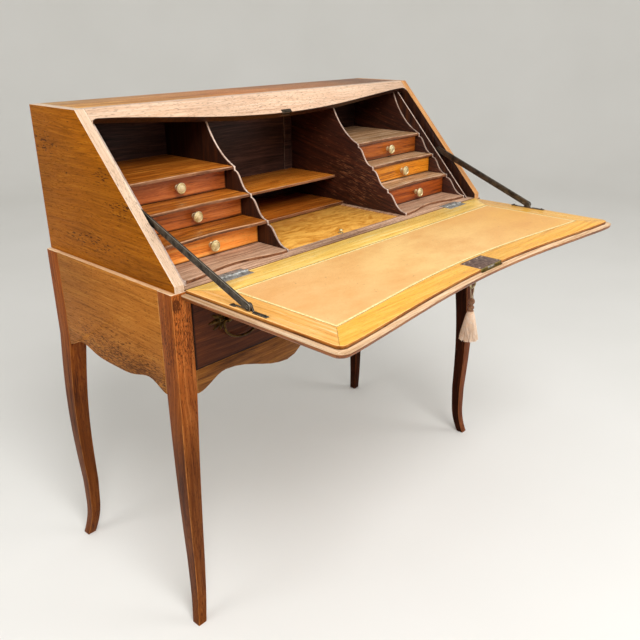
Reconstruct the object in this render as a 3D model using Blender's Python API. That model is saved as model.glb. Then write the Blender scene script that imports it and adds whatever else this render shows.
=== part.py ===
"""Slant-front writing desk with an open fall, a fitted interior and cabriole legs.

Metres, Z up, front towards -Y. Shapes are drawn about the middle of the base and then
carried by one empty that puts the middle of the open desk's footprint at the origin.
"""

import math

import bmesh
import bpy
from mathutils import Vector

# Overall sizes
BASE_WIDTH = 1.008
BASE_DEPTH = 0.421
BASE_HEIGHT = 0.720
DESK_HEIGHT = 1.005

# Fits
SEAT = 0.0003
RUN = 0.0005
PIN_FIT = 0.0002

# Base
LEG_TOP = 0.040
LEG_FOOT = 0.020
KNEE_OUT = 0.006
KNEE_DROP = 0.190
KNEE_END = 0.150
FOOT_OUT = 0.012
FOOT_RISE = 0.090
APRON = 0.018
SIDE_APRON_DROP = 0.204
SIDE_APRON_HUMP = 0.017
FRONT_APRON_DROP = 0.2165
FRONT_APRON_HUMP = 0.0375
KNEEHOLE_DROP = 0.106
BEARER_DROP = 0.1565
BEARER = 0.012
DRAWER_BAY = 0.2348
DIVIDER = 0.012

# Upper case
CASE_INSET = 0.008
BACK_INSET = 0.003
SIDE = 0.020
TOP = 0.016
TOP_DEPTH = 0.1645
BACK = 0.010
SLOPE_FOOT = 0.0122
RAIL = 0.016
RAIL_END = 0.0215
RAIL_BELLY = 0.034
RAIL_POWER = 1.6
CORNER_R = 0.014
LIP_R = 0.018
FLOOR = 0.024
CHANNEL = 0.009

# Fall
FALL_INNER = 0.0065
FALL_OUTER = 0.0125
FALL_LIP = 0.010
FALL_PLAY = 0.0015
FALL_TIP = 0.0045
LIP_EDGE = 0.0025
LIP_ROUND = 0.0105
SILL_RISE = 0.0025
HINGE_GAP = 0.001
LEATHER_SIDE = 0.0505
LEATHER_BACK = 0.0625
LEATHER_FRONT = 0.050
LEATHER = 0.0012
HINGE_IN = 0.1065
HINGE_LENGTH = 0.074
HINGE_LEAF = 0.015
KNUCKLE_R = 0.003
LOCK_WIDTH = 0.076
LOCK_DEPTH = 0.046
LOCK_THICK = 0.010
BOLT_WIDTH = 0.024
BOLT_LENGTH = 0.030
BOLT_THICK = 0.003
BOLT_THROW = 0.009
KEY_BACK = 0.030
STAY_ARM = 0.1545
STAY_LIFT = 0.008
STAY_UP = 0.15633
STAY_IN = 0.01396
STAY_WIDTH = 0.014
STAY_THICK = 0.004
STAY_PIN = 0.0022
STAY_PEG = 0.004
STAY_STOP = 0.006
BRACKET_LENGTH = 0.086
BRACKET = 0.0018
EAR = 0.003

# Interior
PARTITION_SHARE = 0.42017
PARTITION = 0.006
NEST_GAP = 0.022
LINING = 0.004
SHELF = 0.006
NEST_TOPS = (0.0563, 0.1043, 0.1543)
NEST_FRONTS = (-0.132, -0.085, -0.038)
NEST_BASE = 0.0063
NEST_BASE_FRONT = -0.189
HOLLOWS = (0.020, 0.008, 0.004, 0.004)
DRAWER_RECESS = 0.026
DRAWN_OUT = 0.018
SMALL_FRONT = 0.009
SMALL_WALL = 0.005
KNOB_R = 0.009
KNOB_REACH = 0.016
CENTER_SHELF_Z = 0.070
CENTER_SHELF_FRONT = 0.034
WELL_IN = 0.030
WELL_FRONT = -0.163
WELL_BACK = -0.008
WELL_DEEP = 0.072
LID = 0.007
REAR_BOARD_FRONT = 0.005

# Deep drawers
DRAWER_FRONT = 0.016
DRAWER_WALL = 0.008
DRAWER_LENGTH = 0.352
HANDLE_DROP = 0.076
HANDLE_POST_X = 0.036
PLATE_HALF = 0.078
PLATE_WAIST = 0.004
PLATE_SWELL = 0.012
PLATE_LOBE = 0.005
PLATE_RIM = 0.0015
PLATE_THICK = 0.0025
EYE_R = 0.0052
EYE_REACH = 0.0085
BAIL_DROP = 0.042
BAIL_R = 0.0026

# Key and tassel
KEY_DROP = 0.027
BOW_R = 0.009
BOW_WIRE = 0.002
CORD_R = 0.0011
CORD_DROP = 0.022
TASSEL_LENGTH = 0.088
TASSEL_R = 0.015


# Places that follow from the sizes
half_w = BASE_WIDTH / 2
half_d = BASE_DEPTH / 2
post_x = half_w - LEG_TOP
post_y = half_d - LEG_TOP
case_x = half_w - CASE_INSET
inner_x = case_x - SIDE
case_back = half_d - BACK_INSET
back_y = case_back - BACK - 0.0095
write_z = BASE_HEIGHT + SILL_RISE
foot = Vector((-half_d, BASE_HEIGHT + SLOPE_FOOT))
crest = Vector((case_back - TOP_DEPTH, DESK_HEIGHT))
slope = math.atan2(crest.y - foot.y, crest.x - foot.x)
up_slope = Vector((math.cos(slope), math.sin(slope)))
hinge_y = foot.x - (foot.y - write_z) / math.tan(slope) + (FALL_INNER - SEAT) / math.sin(slope)
hinge_y = min(hinge_y, -half_d - HINGE_GAP)
hinge = Vector((hinge_y, write_z))
slope_off = (hinge - foot).dot(Vector((-math.sin(slope), math.cos(slope))))
slope_off = slope_off + FALL_INNER - SEAT
crest = crest + Vector((-slope_off / math.sin(slope), 0.0))
foot = Vector((-half_d, crest.y - (crest.x + half_d) * math.tan(slope)))
slope_run = (crest - hinge).dot(up_slope)
fall_half = inner_x - FALL_PLAY
ledge = BASE_HEIGHT + SEAT
floor_low = write_z - FLOOR
channel_z = write_z - CHANNEL
ceiling = DESK_HEIGHT - TOP
knee_top = BASE_HEIGHT - KNEE_DROP
side_apron_z = BASE_HEIGHT - SIDE_APRON_DROP
front_apron_z = BASE_HEIGHT - FRONT_APRON_DROP
kneehole_z = BASE_HEIGHT - KNEEHOLE_DROP
bearer_z = BASE_HEIGHT - BEARER_DROP
handle_z = BASE_HEIGHT - HANDLE_DROP
divider_x = post_x - DRAWER_BAY
leather_x = fall_half - LEATHER_SIDE
hinge_x = fall_half - HINGE_IN
partition_x = inner_x * PARTITION_SHARE
outer_x = inner_x - NEST_GAP
well_x = partition_x - WELL_IN


def rail_depth(x):
    """How far the top rail reaches down the slope at x: more in the middle, like a belly."""
    t = min(1.0, abs(x) / inner_x)
    return RAIL_END + RAIL_BELLY * (1.0 - t ** 2) ** RAIL_POWER


def fall_reach(x):
    """Distance from the hinge line to the fall's front edge at x."""
    return slope_run - rail_depth(x) - FALL_TIP


front_y = hinge.x - fall_reach(fall_half + FALL_LIP - LIP_R) - FALL_LIP
back_foot = half_d + FOOT_OUT
shift_y = (-front_y - back_foot) / 2

for old in list(bpy.data.objects):
    bpy.data.objects.remove(old, do_unlink=True)

places = {}


def pivot(name, at, on=None):
    """An empty on a joint's axis, given in the desk's own coordinates."""
    empty = bpy.data.objects.new(name, None)
    bpy.context.scene.collection.objects.link(empty)
    empty.empty_display_size = 0.03
    places[name] = Vector(at)
    if on is None:
        empty.location = (0.0, shift_y, 0.0)
    else:
        empty.parent = on
        empty.location = places[name] - places[on.name]
    return empty


desk = pivot("desk", (0.0, 0.0, 0.0))


def finish(name, red, green, blue, roughness, metallic=0.0):
    """A plain Principled material."""
    made = bpy.data.materials.new(name)
    made.use_nodes = True
    shader = made.node_tree.nodes["Principled BSDF"]
    shader.inputs["Base Color"].default_value = (red, green, blue, 1.0)
    shader.inputs["Roughness"].default_value = roughness
    shader.inputs["Metallic"].default_value = metallic
    made.diffuse_color = (red, green, blue, 1.0)
    return made


walnut = finish("walnut", 0.33, 0.15, 0.045, 0.35)
pale_wood = finish("pale_wood", 0.55, 0.36, 0.18, 0.35)
leg_wood = finish("leg_wood", 0.25, 0.11, 0.035, 0.4)
dark_wood = finish("dark_wood", 0.06, 0.025, 0.014, 0.4)
shelf_wood = finish("shelf_wood", 0.40, 0.17, 0.05, 0.4)
front_wood = finish("front_wood", 0.30, 0.10, 0.03, 0.35)
lid_wood = finish("lid_wood", 0.45, 0.24, 0.05, 0.35)
fall_wood = finish("fall_wood", 0.62, 0.36, 0.10, 0.25)
leather = finish("leather", 0.70, 0.42, 0.18, 0.5)
brass = finish("brass", 0.72, 0.55, 0.22, 0.3, 1.0)
iron = finish("iron", 0.12, 0.11, 0.10, 0.5, 1.0)
steel = finish("steel", 0.45, 0.45, 0.46, 0.4, 1.0)
silk = finish("silk", 0.66, 0.47, 0.32, 0.8)


def solid(name, shape, look, on=desk):
    """Turn a bmesh drawn in the desk's coordinates into a named object carried by an empty."""
    shape.normal_update()
    bmesh.ops.recalc_face_normals(shape, faces=shape.faces)
    mesh = bpy.data.meshes.new(name)
    shape.to_mesh(mesh)
    shape.free()
    made = bpy.data.objects.new(name, mesh)
    bpy.context.scene.collection.objects.link(made)
    if look is not None:
        made.data.materials.append(look)
    made.parent = on
    made.location = -places[on.name]
    return made


def extrude(outline, axis, low, high):
    """A bmesh prism: an outline in the plane across an axis, from low to high along it."""
    shape = bmesh.new()
    order = {"x": (2, 0, 1), "y": (0, 2, 1), "z": (0, 1, 2)}[axis]
    verts = []
    for a, b in outline:
        spot = (a, b, low)
        verts.append(shape.verts.new([spot[i] for i in order]))
    face = shape.faces.new(verts)
    step = Vector([(0.0, 0.0, high - low)[i] for i in order])
    grown = bmesh.ops.extrude_face_region(shape, geom=[face])
    moved = [item for item in grown["geom"] if isinstance(item, bmesh.types.BMVert)]
    bmesh.ops.translate(shape, verts=moved, vec=step)
    return shape


def block(low, high):
    """A bmesh box between two corners."""
    rect = [(low[0], low[1]), (high[0], low[1]), (high[0], high[1]), (low[0], high[1])]
    return extrude(rect, "z", low[2], high[2])


def loft(rings):
    """A bmesh skin over rings of equal point count, capped at both ends."""
    shape = bmesh.new()
    rows = [[shape.verts.new(point) for point in ring] for ring in rings]
    count = len(rings[0])
    for lower, upper in zip(rows, rows[1:]):
        for i in range(count):
            j = (i + 1) % count
            shape.faces.new((lower[i], lower[j], upper[j], upper[i]))
    shape.faces.new(rows[0])
    shape.faces.new(rows[-1])
    return shape


def turned(profile, at, axis, steps=20):
    """A bmesh turned about an axis through at: profile of (radius, distance along the axis)."""
    side = Vector((0.0, 0.0, 1.0)) if abs(axis[2]) < 0.5 else Vector((1.0, 0.0, 0.0))
    along = Vector(axis).normalized()
    other = along.cross(side).normalized()
    rings = []
    for radius, reach in profile:
        ring = []
        for i in range(steps):
            turn = 2.0 * math.pi * i / steps
            ring.append(Vector(at) + along * reach
                        + side * (radius * math.cos(turn)) + other * (radius * math.sin(turn)))
        rings.append(ring)
    return loft(rings)


def rod(path, radius, steps=10):
    """A bmesh round bar along a path of points in one plane."""
    points = [Vector(point) for point in path]
    rings = []
    flat = (points[1] - points[0]).cross(points[-1] - points[0])
    if flat.length < 1e-9:
        flat = (points[1] - points[0]).orthogonal()
    for k in range(2, len(points) - 1):
        test = (points[1] - points[0]).cross(points[k] - points[0])
        if test.length > flat.length:
            flat = test
    flat.normalize()
    for k, point in enumerate(points):
        before = points[max(k - 1, 0)]
        after = points[min(k + 1, len(points) - 1)]
        along = (after - before).normalized()
        across = along.cross(flat).normalized()
        stretch = 1.0
        if 0 < k < len(points) - 1:
            bend = (point - before).angle(after - point)
            stretch = 1.0 / math.cos(bend / 2)
        ring = []
        for i in range(steps):
            turn = 2.0 * math.pi * i / steps
            ring.append(point + across * (radius * stretch * math.cos(turn))
                        + flat * (radius * math.sin(turn)))
        rings.append(ring)
    return loft(rings)


def combine(made, shape, operation):
    """Cut a helper shape out of an object, or join it on, with a Boolean modifier."""
    on = made.parent
    tool = solid(made.name + "_" + operation.lower(), shape, None, on)
    tool.hide_render = True
    tool.display_type = "WIRE"
    step = made.modifiers.new(operation.lower(), "BOOLEAN")
    step.operation = operation
    step.solver = "EXACT"
    step.object = tool


def cut(made, shape):
    combine(made, shape, "DIFFERENCE")


def join(made, shape):
    combine(made, shape, "UNION")


def curve(start, first, second, end, steps):
    """Points along a cubic curve, without its first point."""
    points = []
    for i in range(1, steps + 1):
        t = i / steps
        a = (1 - t) ** 3
        b = 3 * t * (1 - t) ** 2
        c = 3 * t * t * (1 - t)
        d = t ** 3
        points.append((a * start[0] + b * first[0] + c * second[0] + d * end[0],
                       a * start[1] + b * first[1] + c * second[1] + d * end[1]))
    return points


def ease(knots, steps):
    """A line through knots that levels out at each one."""
    points = [knots[0]]
    for (x0, z0), (x1, z1) in zip(knots, knots[1:]):
        for i in range(1, steps + 1):
            t = i / steps
            lift = (1 - math.cos(math.pi * t)) / 2
            points.append((x0 + (x1 - x0) * t, z0 + (z1 - z0) * lift))
    return points


# Legs: square cabriole legs whose tops are the corner posts of the base.
def leg_ring(side, end, z):
    """The leg's square section at a height, pushed out along its diagonal at knee and foot."""
    out = 0.0
    if KNEE_END < z < knee_top:
        out += KNEE_OUT * math.sin(math.pi * (z - KNEE_END) / (knee_top - KNEE_END))
    if z < FOOT_RISE:
        out += FOOT_OUT * (1 - z / FOOT_RISE) ** 2
    wide = LEG_FOOT + (LEG_TOP - LEG_FOOT) * min(1.0, z / knee_top)
    x = half_w + out
    y = half_d + out
    ring = [(x - wide, y - wide, z), (x, y - wide, z), (x, y, z), (x - wide, y, z)]
    return [(side * a, end * b, c) for a, b, c in ring]


leg_heights = [knee_top * i / 18 for i in range(19)] + [BASE_HEIGHT]
for end_name, end in (("front", -1), ("back", 1)):
    for side_name, side in (("left", -1), ("right", 1)):
        rings = [leg_ring(side, end, z) for z in leg_heights]
        solid("leg_" + end_name + "_" + side_name, loft(rings), leg_wood)


# Side aprons: boards between the posts with a double-curved lower edge.
apron_y = post_y - SEAT
apron_line = []
for i in range(-16, 17):
    t = i / 16
    wave = (1 - math.cos(2 * math.pi * abs(t) ** 1.87)) / 2
    apron_line.append((t * apron_y, side_apron_z + 0.003 * (1 - t * t) + SIDE_APRON_HUMP * wave))
apron_line += [(apron_y, BASE_HEIGHT), (-apron_y, BASE_HEIGHT)]
solid("side_apron_left", extrude(apron_line, "x", -half_w, -half_w + APRON), walnut)
solid("side_apron_right", extrude(apron_line, "x", half_w - APRON, half_w), walnut)


# Back rail: a plain board between the back posts.
rail_x = post_x - SEAT
back_rail_y = half_d - APRON
solid("back_rail", block((-rail_x, back_rail_y, side_apron_z + 0.02), (rail_x, half_d, BASE_HEIGHT)),
      leg_wood)


# Front apron: one board below the drawers and across the middle, with the kneehole arch.
divider_out = divider_x + DIVIDER
lower = ease([(rail_x, side_apron_z), (rail_x - 0.069, front_apron_z + FRONT_APRON_HUMP),
              (divider_x + 0.002, front_apron_z), (0.075, kneehole_z), (0.0, kneehole_z + 0.003)], 7)
front_line = [(-x, z) for x, z in lower] + [(x, z) for x, z in reversed(lower[:-1])]
frieze_top = floor_low - SEAT
front_line += [(rail_x, bearer_z), (divider_out, bearer_z), (divider_out, frieze_top),
               (-divider_out, frieze_top), (-divider_out, bearer_z), (-rail_x, bearer_z)]
solid("front_apron", extrude(front_line, "y", -half_d, -half_d + APRON), walnut)


# Drawer housings: a bearer under each deep drawer and the divider at its inner side.
for side_name, side in (("left", -1), ("right", 1)):
    section = [(rail_x, bearer_z - BEARER), (divider_x, bearer_z - BEARER), (divider_x, frieze_top),
               (divider_out, frieze_top), (divider_out, bearer_z), (rail_x, bearer_z)]
    section = [(side * x, z) for x, z in section]
    solid("drawer_housing_" + side_name,
          extrude(section, "y", -half_d + APRON + SEAT, back_rail_y - SEAT), leg_wood)


# Case floor: the board that carries the interior, its front strip the sill of the fall.
# A sunken channel takes the well's sliding lid, and the well's mouth opens through it.
sill_y = -half_d
floor_back = case_back - BACK - SEAT
floor_x = post_x - SEAT
wide_x = half_w - APRON - SEAT
floor_line = [(-floor_x, sill_y), (floor_x, sill_y), (floor_x, -post_y + SEAT), (wide_x, -post_y + SEAT),
              (wide_x, post_y - SEAT), (floor_x, post_y - SEAT), (floor_x, back_rail_y - SEAT),
              (-floor_x, back_rail_y - SEAT), (-floor_x, post_y - SEAT), (-wide_x, post_y - SEAT),
              (-wide_x, -post_y + SEAT), (-floor_x, -post_y + SEAT)]
case_floor = solid("case_floor", extrude(floor_line, "z", floor_low, BASE_HEIGHT), shelf_wood)
upper_x = inner_x - SEAT
join(case_floor, block((-floor_x, sill_y, BASE_HEIGHT - 0.003), (floor_x, back_y - SEAT, write_z)))
join(case_floor, block((-upper_x, sill_y, ledge), (upper_x, back_y - SEAT, write_z)))
lid_x = partition_x - PARTITION / 2 - 0.009
lid_front = WELL_FRONT - 0.0145
cut(case_floor, block((-lid_x - RUN, lid_front - RUN, channel_z),
                      (lid_x + RUN, back_y + 0.01, write_z + 0.01)))
cut(case_floor, block((-well_x, WELL_FRONT, floor_low - 0.01), (well_x, WELL_BACK, write_z)))


# Well box: the open tray that hangs under the floor.
well_low = floor_low - SEAT - WELL_DEEP
wall = 0.007
well_box = solid("well_box", block((-well_x - 0.008, WELL_FRONT - 0.008, well_low),
                                   (well_x + 0.008, WELL_BACK + 0.008, floor_low - SEAT)), leg_wood)
cut(well_box, block((-well_x - 0.008 + wall, WELL_FRONT - 0.008 + wall, well_low + wall),
                    (well_x + 0.008 - wall, WELL_BACK + 0.008 - wall, floor_low + 0.01)))


# Well lid: the board that slides back under the rear board, with a small metal pull.
lid_back = REAR_BOARD_FRONT + 0.026
lid_path = pivot("well_lid_slide", (0.0, lid_front, channel_z), desk)
well_lid = solid("well_lid", block((-lid_x, lid_front, channel_z + SEAT), (lid_x, lid_back, channel_z + LID)),
                 lid_wood, lid_path)
solid("well_lid_pull", turned([(0.006, 0.0), (0.006, 0.001), (0.0025, 0.002), (0.0025, 0.004),
                               (0.0045, 0.006), (0.003, 0.0085)],
                              (-0.014, lid_front + 0.010, channel_z + LID + SEAT), (0, 0, 1), 16),
      brass, lid_path)


# Case sides: full-height boards with a sloped front edge. A small block stops each stay.
stay_x = inner_x - 0.006
pivot_y = hinge.x - STAY_ARM
pivot_z = write_z + STAY_LIFT
peg_spot = foot + up_slope * STAY_UP + Vector((up_slope.y, -up_slope.x)) * STAY_IN
peg_way = peg_spot - Vector((pivot_y, pivot_z))
peg = peg_way.length
lean = math.atan2(peg_way.y, peg_way.x)


def stay_point(along, across):
    """A point of the open stay, measured from its pivot along and across the bar."""
    return (pivot_y + along * math.cos(lean) - across * math.sin(lean),
            pivot_z + along * math.sin(lean) + across * math.cos(lean))


side_line = [(foot.x, ledge), (case_back, ledge), (case_back, DESK_HEIGHT),
             (crest.x, DESK_HEIGHT), (foot.x, foot.y)]
stop_near = peg - STAY_PEG - RUN
stop_line = [stay_point(stop_near - STAY_STOP, -STAY_STOP), stay_point(stop_near, -STAY_STOP),
             stay_point(stop_near, 0.0), stay_point(stop_near - STAY_STOP, 0.0)]
for side_name, side in (("left", -1), ("right", 1)):
    low, high = sorted((side * inner_x, side * case_x))
    case_side = solid("case_side_" + side_name, extrude(side_line, "x", low, high), walnut)
    low, high = sorted((side * (inner_x + 0.002), side * (stay_x + STAY_THICK / 2 + RUN)))
    join(case_side, extrude(stop_line, "x", low, high))


# Case top: the board between the sides, its front edge cut to the slope behind the rail.
across = 1.0 / math.sin(slope)
top_front = crest.x + (RAIL + SEAT) * across
drop = TOP / math.tan(slope)
top_line = [(top_front, DESK_HEIGHT), (case_back, DESK_HEIGHT), (case_back, ceiling),
            (top_front - drop, ceiling)]
top_x = inner_x - SEAT
solid("case_top", extrude(top_line, "x", -top_x, top_x), walnut)


# Case back: the board behind the interior, and the facing in front of it.
solid("case_back", block((-top_x, back_y, ledge), (top_x, case_back, ceiling - SEAT)), dark_wood)


# Top rail: the bellied front rail above the fall, with rounded corners where it meets the sides.
def slope_point(s, depth):
    """A point s down the slope from the crest and depth behind the sloped face."""
    return (crest.x - s * math.cos(slope) + depth * math.sin(slope),
            crest.y - s * math.sin(slope) - depth * math.cos(slope))


def on_slope(shape):
    """Stand a shape drawn as x, s, depth on the sloped front."""
    for vert in shape.verts:
        y, z = slope_point(vert.co.y, vert.co.z)
        vert.co.y = y
        vert.co.z = z
    return shape


corner_s = rail_depth(top_x - CORNER_R) + CORNER_R
rail_line = [(top_x, 0.0), (top_x, corner_s)]
for i in range(1, 6):
    turn = math.pi / 2 * i / 5
    rail_line.append((top_x - CORNER_R * (1 - math.cos(turn)), corner_s - CORNER_R * math.sin(turn)))
span = top_x - CORNER_R
rail_line += [(span * (1 - i / 20), rail_depth(span * (1 - i / 20))) for i in range(1, 20)]
rail_line = rail_line + [(0.0, rail_depth(0.0))] + [(-x, s) for x, s in reversed(rail_line)]
rail_shape = extrude(rail_line, "z", 0.0, RAIL)
for vert in rail_shape.verts:
    if vert.co.y < 1e-6 and vert.co.z > 1e-6:
        vert.co.y = -RAIL / math.tan(slope)
top_rail = solid("top_rail", on_slope(rail_shape), pale_wood)
belly = rail_depth(0.0)
strike_x = 0.015
strike = 0.0012
strike_cut = [(belly - 0.008 - SEAT, -0.01), (belly + 0.01, -0.01), (belly + 0.01, 0.011 + SEAT),
              (belly - strike - SEAT, 0.011 + SEAT), (belly - strike - SEAT, strike + SEAT),
              (belly - 0.008 - SEAT, strike + SEAT)]
cut(top_rail, on_slope(extrude(strike_cut, "x", -strike_x - SEAT, strike_x + SEAT)))
bolt_near = 0.0018
mortise_low = FALL_INNER - SEAT - bolt_near - BOLT_THICK - SEAT
mortise_high = FALL_INNER - SEAT - bolt_near + SEAT
cut(top_rail, on_slope(block((-BOLT_WIDTH / 2 - RUN, belly - BOLT_THROW - 0.002, mortise_low),
                             (BOLT_WIDTH / 2 + RUN, belly + 0.01, mortise_high))))


# Strike plate: an angle of iron let into the rail's lower edge, with a slot for the bolt.
strike_line = [(belly - 0.008, 0.0), (belly, 0.0), (belly, 0.011), (belly - strike, 0.011),
               (belly - strike, strike), (belly - 0.008, strike)]
strike_plate = solid("strike_plate", on_slope(extrude(strike_line, "x", -strike_x, strike_x)), iron)
cut(strike_plate, on_slope(block((-BOLT_WIDTH / 2 - RUN, belly - 0.006, mortise_low),
                                 (BOLT_WIDTH / 2 + RUN, belly + 0.01, mortise_high))))


# Centre partitions: dark boards whose front edge steps down in scallops over the drawers.
def scallops(steps):
    """The stepped front edge, from the lowest tip up to the rail."""
    tips = [(NEST_BASE_FRONT, write_z + NEST_BASE)]
    tips += [(y, write_z + z - 0.001) for y, z in zip(NEST_FRONTS, NEST_TOPS)]
    line = []
    for low_tip, high_tip in zip(tips, tips[1:]):
        dy = high_tip[0] - low_tip[0]
        dz = high_tip[1] - low_tip[1]
        shoulder = (high_tip[0] - 0.02 * dy, high_tip[1] - 0.16 * dz)
        line.append(low_tip)
        line += curve(low_tip, (low_tip[0] + 0.64 * dy, low_tip[1] + 0.04 * dz),
                      (high_tip[0] - 0.40 * dy, shoulder[1] - 0.01 * dz), shoulder, steps)
    tip = tips[-1]
    line.append(tip)
    top_front_y = slope_point(0.0, 0.0)[0] + (RAIL + 0.002) * across
    top_front_y = top_front_y - (DESK_HEIGHT - ceiling) / math.tan(slope) + 0.004
    line += curve(tip, (tip[0] + 0.042, tip[1] + 0.016), (top_front_y - 0.018, tip[1] + 0.058),
                  (top_front_y, ceiling - SEAT), steps + 3)
    return line


edge = scallops(6)
board = [(back_y - SEAT, ceiling - SEAT), (back_y - SEAT, write_z + SEAT),
         (NEST_BASE_FRONT, write_z + SEAT)]
for side_name, side in (("left", -1), ("right", 1)):
    low, high = sorted((side * (partition_x - PARTITION / 2), side * (partition_x + PARTITION / 2)))
    solid("partition_" + side_name, extrude(edge + board, "x", low, high), dark_wood)


# Nests: outer partition, its straight lining, the base board and the shelves of each side.
nest_low = partition_x + PARTITION / 2 + SEAT
tops = [write_z + NEST_BASE] + [write_z + z for z in NEST_TOPS]
fronts = [NEST_BASE_FRONT] + list(NEST_FRONTS)
for side_name, side in (("left", -1), ("right", 1)):
    low, high = sorted((side * outer_x, side * (outer_x + PARTITION)))
    nest = solid("nest_" + side_name, extrude(edge + board, "x", low, high), dark_wood)
    low, high = sorted((side * (outer_x + PARTITION - 0.001), side * (outer_x + PARTITION + LINING)))
    bottom_y = slope_point((crest.y - write_z - SEAT) / math.sin(slope), 0.0)[0] + 0.024
    top_y = slope_point((crest.y - ceiling) / math.sin(slope), 0.0)[0] + 0.024
    lining = [(back_y - SEAT, ceiling - SEAT), (back_y - SEAT, write_z + SEAT),
              (bottom_y, write_z + SEAT), (top_y, ceiling - SEAT)]
    join(nest, extrude(lining, "x", low, high))
    for top_z, front, hollow in zip(tops, fronts, HOLLOWS):
        line = [(outer_x + 0.002, back_y - SEAT), (nest_low, back_y - SEAT)]
        for i in range(17):
            t = i / 16
            dip = math.sin(math.pi * t) ** 2
            line.append((nest_low + (outer_x + 0.002 - nest_low) * t, front + hollow * dip))
        line = [(side * x, y) for x, y in line]
        low_z = top_z - SHELF if top_z > tops[0] else write_z + SEAT
        join(nest, extrude(line, "z", low_z, top_z))


# Centre shelf and rear board of the middle compartment.
middle_x = partition_x - PARTITION / 2 - SEAT
shelf_z = write_z + CENTER_SHELF_Z
solid("center_shelf", block((-middle_x, CENTER_SHELF_FRONT, shelf_z - SHELF),
                            (middle_x, back_y - SEAT, shelf_z)), shelf_wood)
solid("rear_board", block((-middle_x, REAR_BOARD_FRONT, write_z + SEAT),
                          (middle_x, back_y - SEAT, write_z + 0.0073)), shelf_wood)


# Small drawers: open boxes behind thin fronts. The right-hand ones stand a little drawn out.
def tray(name, low, high, front, wall, look, on):
    """An open box with a thicker front board."""
    made = solid(name, block(low, high), look, on)
    cut(made, block((low[0] + wall, low[1] + front, low[2] + wall),
                    (high[0] - wall, high[1] - wall, high[2] + 0.01)))
    return made


level_names = ("low", "middle", "high")
for side_name, side, drawn in (("left", -1, 0.0), ("right", 1, DRAWN_OUT)):
    low_x, high_x = sorted((side * (nest_low + RUN), side * (outer_x - RUN)))
    for k, level in enumerate(level_names):
        name = side_name + "_" + level
        low_z = tops[k] + RUN
        high_z = tops[k + 1] - SHELF - RUN
        face = fronts[k + 1] + DRAWER_RECESS - drawn
        path = pivot("small_drawer_slide_" + name, ((low_x + high_x) / 2, face, (low_z + high_z) / 2), desk)
        tray("small_drawer_" + name, (low_x, face, low_z), (high_x, back_y - 0.008 - drawn, high_z),
             SMALL_FRONT, SMALL_WALL, front_wood, path)
        knob_z = (low_z + high_z) / 2
        knob = [(0.0035, 0.0), (0.0035, 0.006), (0.0062, 0.0085), (KNOB_R, 0.0105), (KNOB_R, 0.0125),
                (0.0075, 0.0145), (0.004, KNOB_REACH)]
        solid("knob_" + name, turned(knob, ((low_x + high_x) / 2, face - SEAT, knob_z), (0, -1, 0), 18),
              brass, path)


# Deep drawers: fronts level with the base, open boxes behind them, leafy plates and bails.
def leaf_outline(center_x, center_z):
    """The cast plate: a band of lobes, widest under the posts, with a leaf at each end."""
    upper = []
    lower = []
    steps = 28
    for i in range(steps + 1):
        t = -1 + 2 * i / steps
        x = center_x + PLATE_HALF * t
        swell = math.exp(-((abs(t) - 0.70) / 0.22) ** 2)
        lobe = abs(math.cos(2.5 * math.pi * t))
        tip = max(0.0, 1 - abs(t) ** 8)
        body = PLATE_WAIST + PLATE_SWELL * swell
        upper.append((x, center_z + (body + PLATE_LOBE * lobe) * tip + PLATE_RIM))
        lower.append((x, center_z - (body + PLATE_LOBE * (1 - lobe)) * tip - PLATE_RIM))
    return upper + lower[::-1]


drawer_low = divider_out + RUN
drawer_high = post_x - SEAT - RUN
for side_name, side in (("left", -1), ("right", 1)):
    low_x, high_x = sorted((side * drawer_low, side * drawer_high))
    center_x = (low_x + high_x) / 2
    path = pivot("drawer_slide_" + side_name, (center_x, -half_d, handle_z), desk)
    tray("drawer_" + side_name, (low_x, -half_d, bearer_z + RUN),
         (high_x, -half_d + DRAWER_LENGTH, frieze_top - RUN), DRAWER_FRONT, DRAWER_WALL, dark_wood, path)
    plate_y = -half_d - SEAT
    plate = solid("handle_plate_" + side_name,
                  extrude(leaf_outline(center_x, handle_z), "y", plate_y - PLATE_THICK, plate_y), brass, path)
    eye_y = plate_y - EYE_REACH
    for way in (-1, 1):
        eye_x = center_x + way * HANDLE_POST_X
        join(plate, turned([(EYE_R, -0.004), (EYE_R, 0.004)], (eye_x, eye_y, handle_z), (1, 0, 0), 18))
        join(plate, block((eye_x - 0.0035, eye_y, handle_z - 0.004),
                          (eye_x + 0.0035, plate_y - 0.001, handle_z + 0.004)))
        cut(plate, turned([(BAIL_R + PIN_FIT, -0.012), (BAIL_R + PIN_FIT, 0.012)],
                          (eye_x, eye_y, handle_z), (1, 0, 0), 18))
    swing = pivot("bail_swing_" + side_name, (center_x, eye_y, handle_z), path)
    bail_path = [(-HANDLE_POST_X + 0.003, 0.0), (-HANDLE_POST_X - 0.006, 0.0)]
    bail_path += curve(bail_path[-1], (-HANDLE_POST_X - 0.0125, 0.0),
                       (-HANDLE_POST_X - 0.0125, -0.013), (-HANDLE_POST_X - 0.007, -0.022), 6)
    bail_path += curve(bail_path[-1], (-HANDLE_POST_X - 0.001, -0.032), (-0.020, -BAIL_DROP),
                       (0.0, -BAIL_DROP), 6)
    bail_path += [(-x, z) for x, z in reversed(bail_path[:-1])]
    spots = [(center_x + x, eye_y, handle_z + z) for x, z in bail_path]
    solid("bail_" + side_name, rod(spots, BAIL_R, 10), brass, swing)


# Fall: a raised writing board on a wider back layer whose lip laps over the case.
fall_turn = pivot("fall_hinge", (0.0, hinge.x, hinge.y), desk)
fall_back = hinge.x - HINGE_GAP


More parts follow.
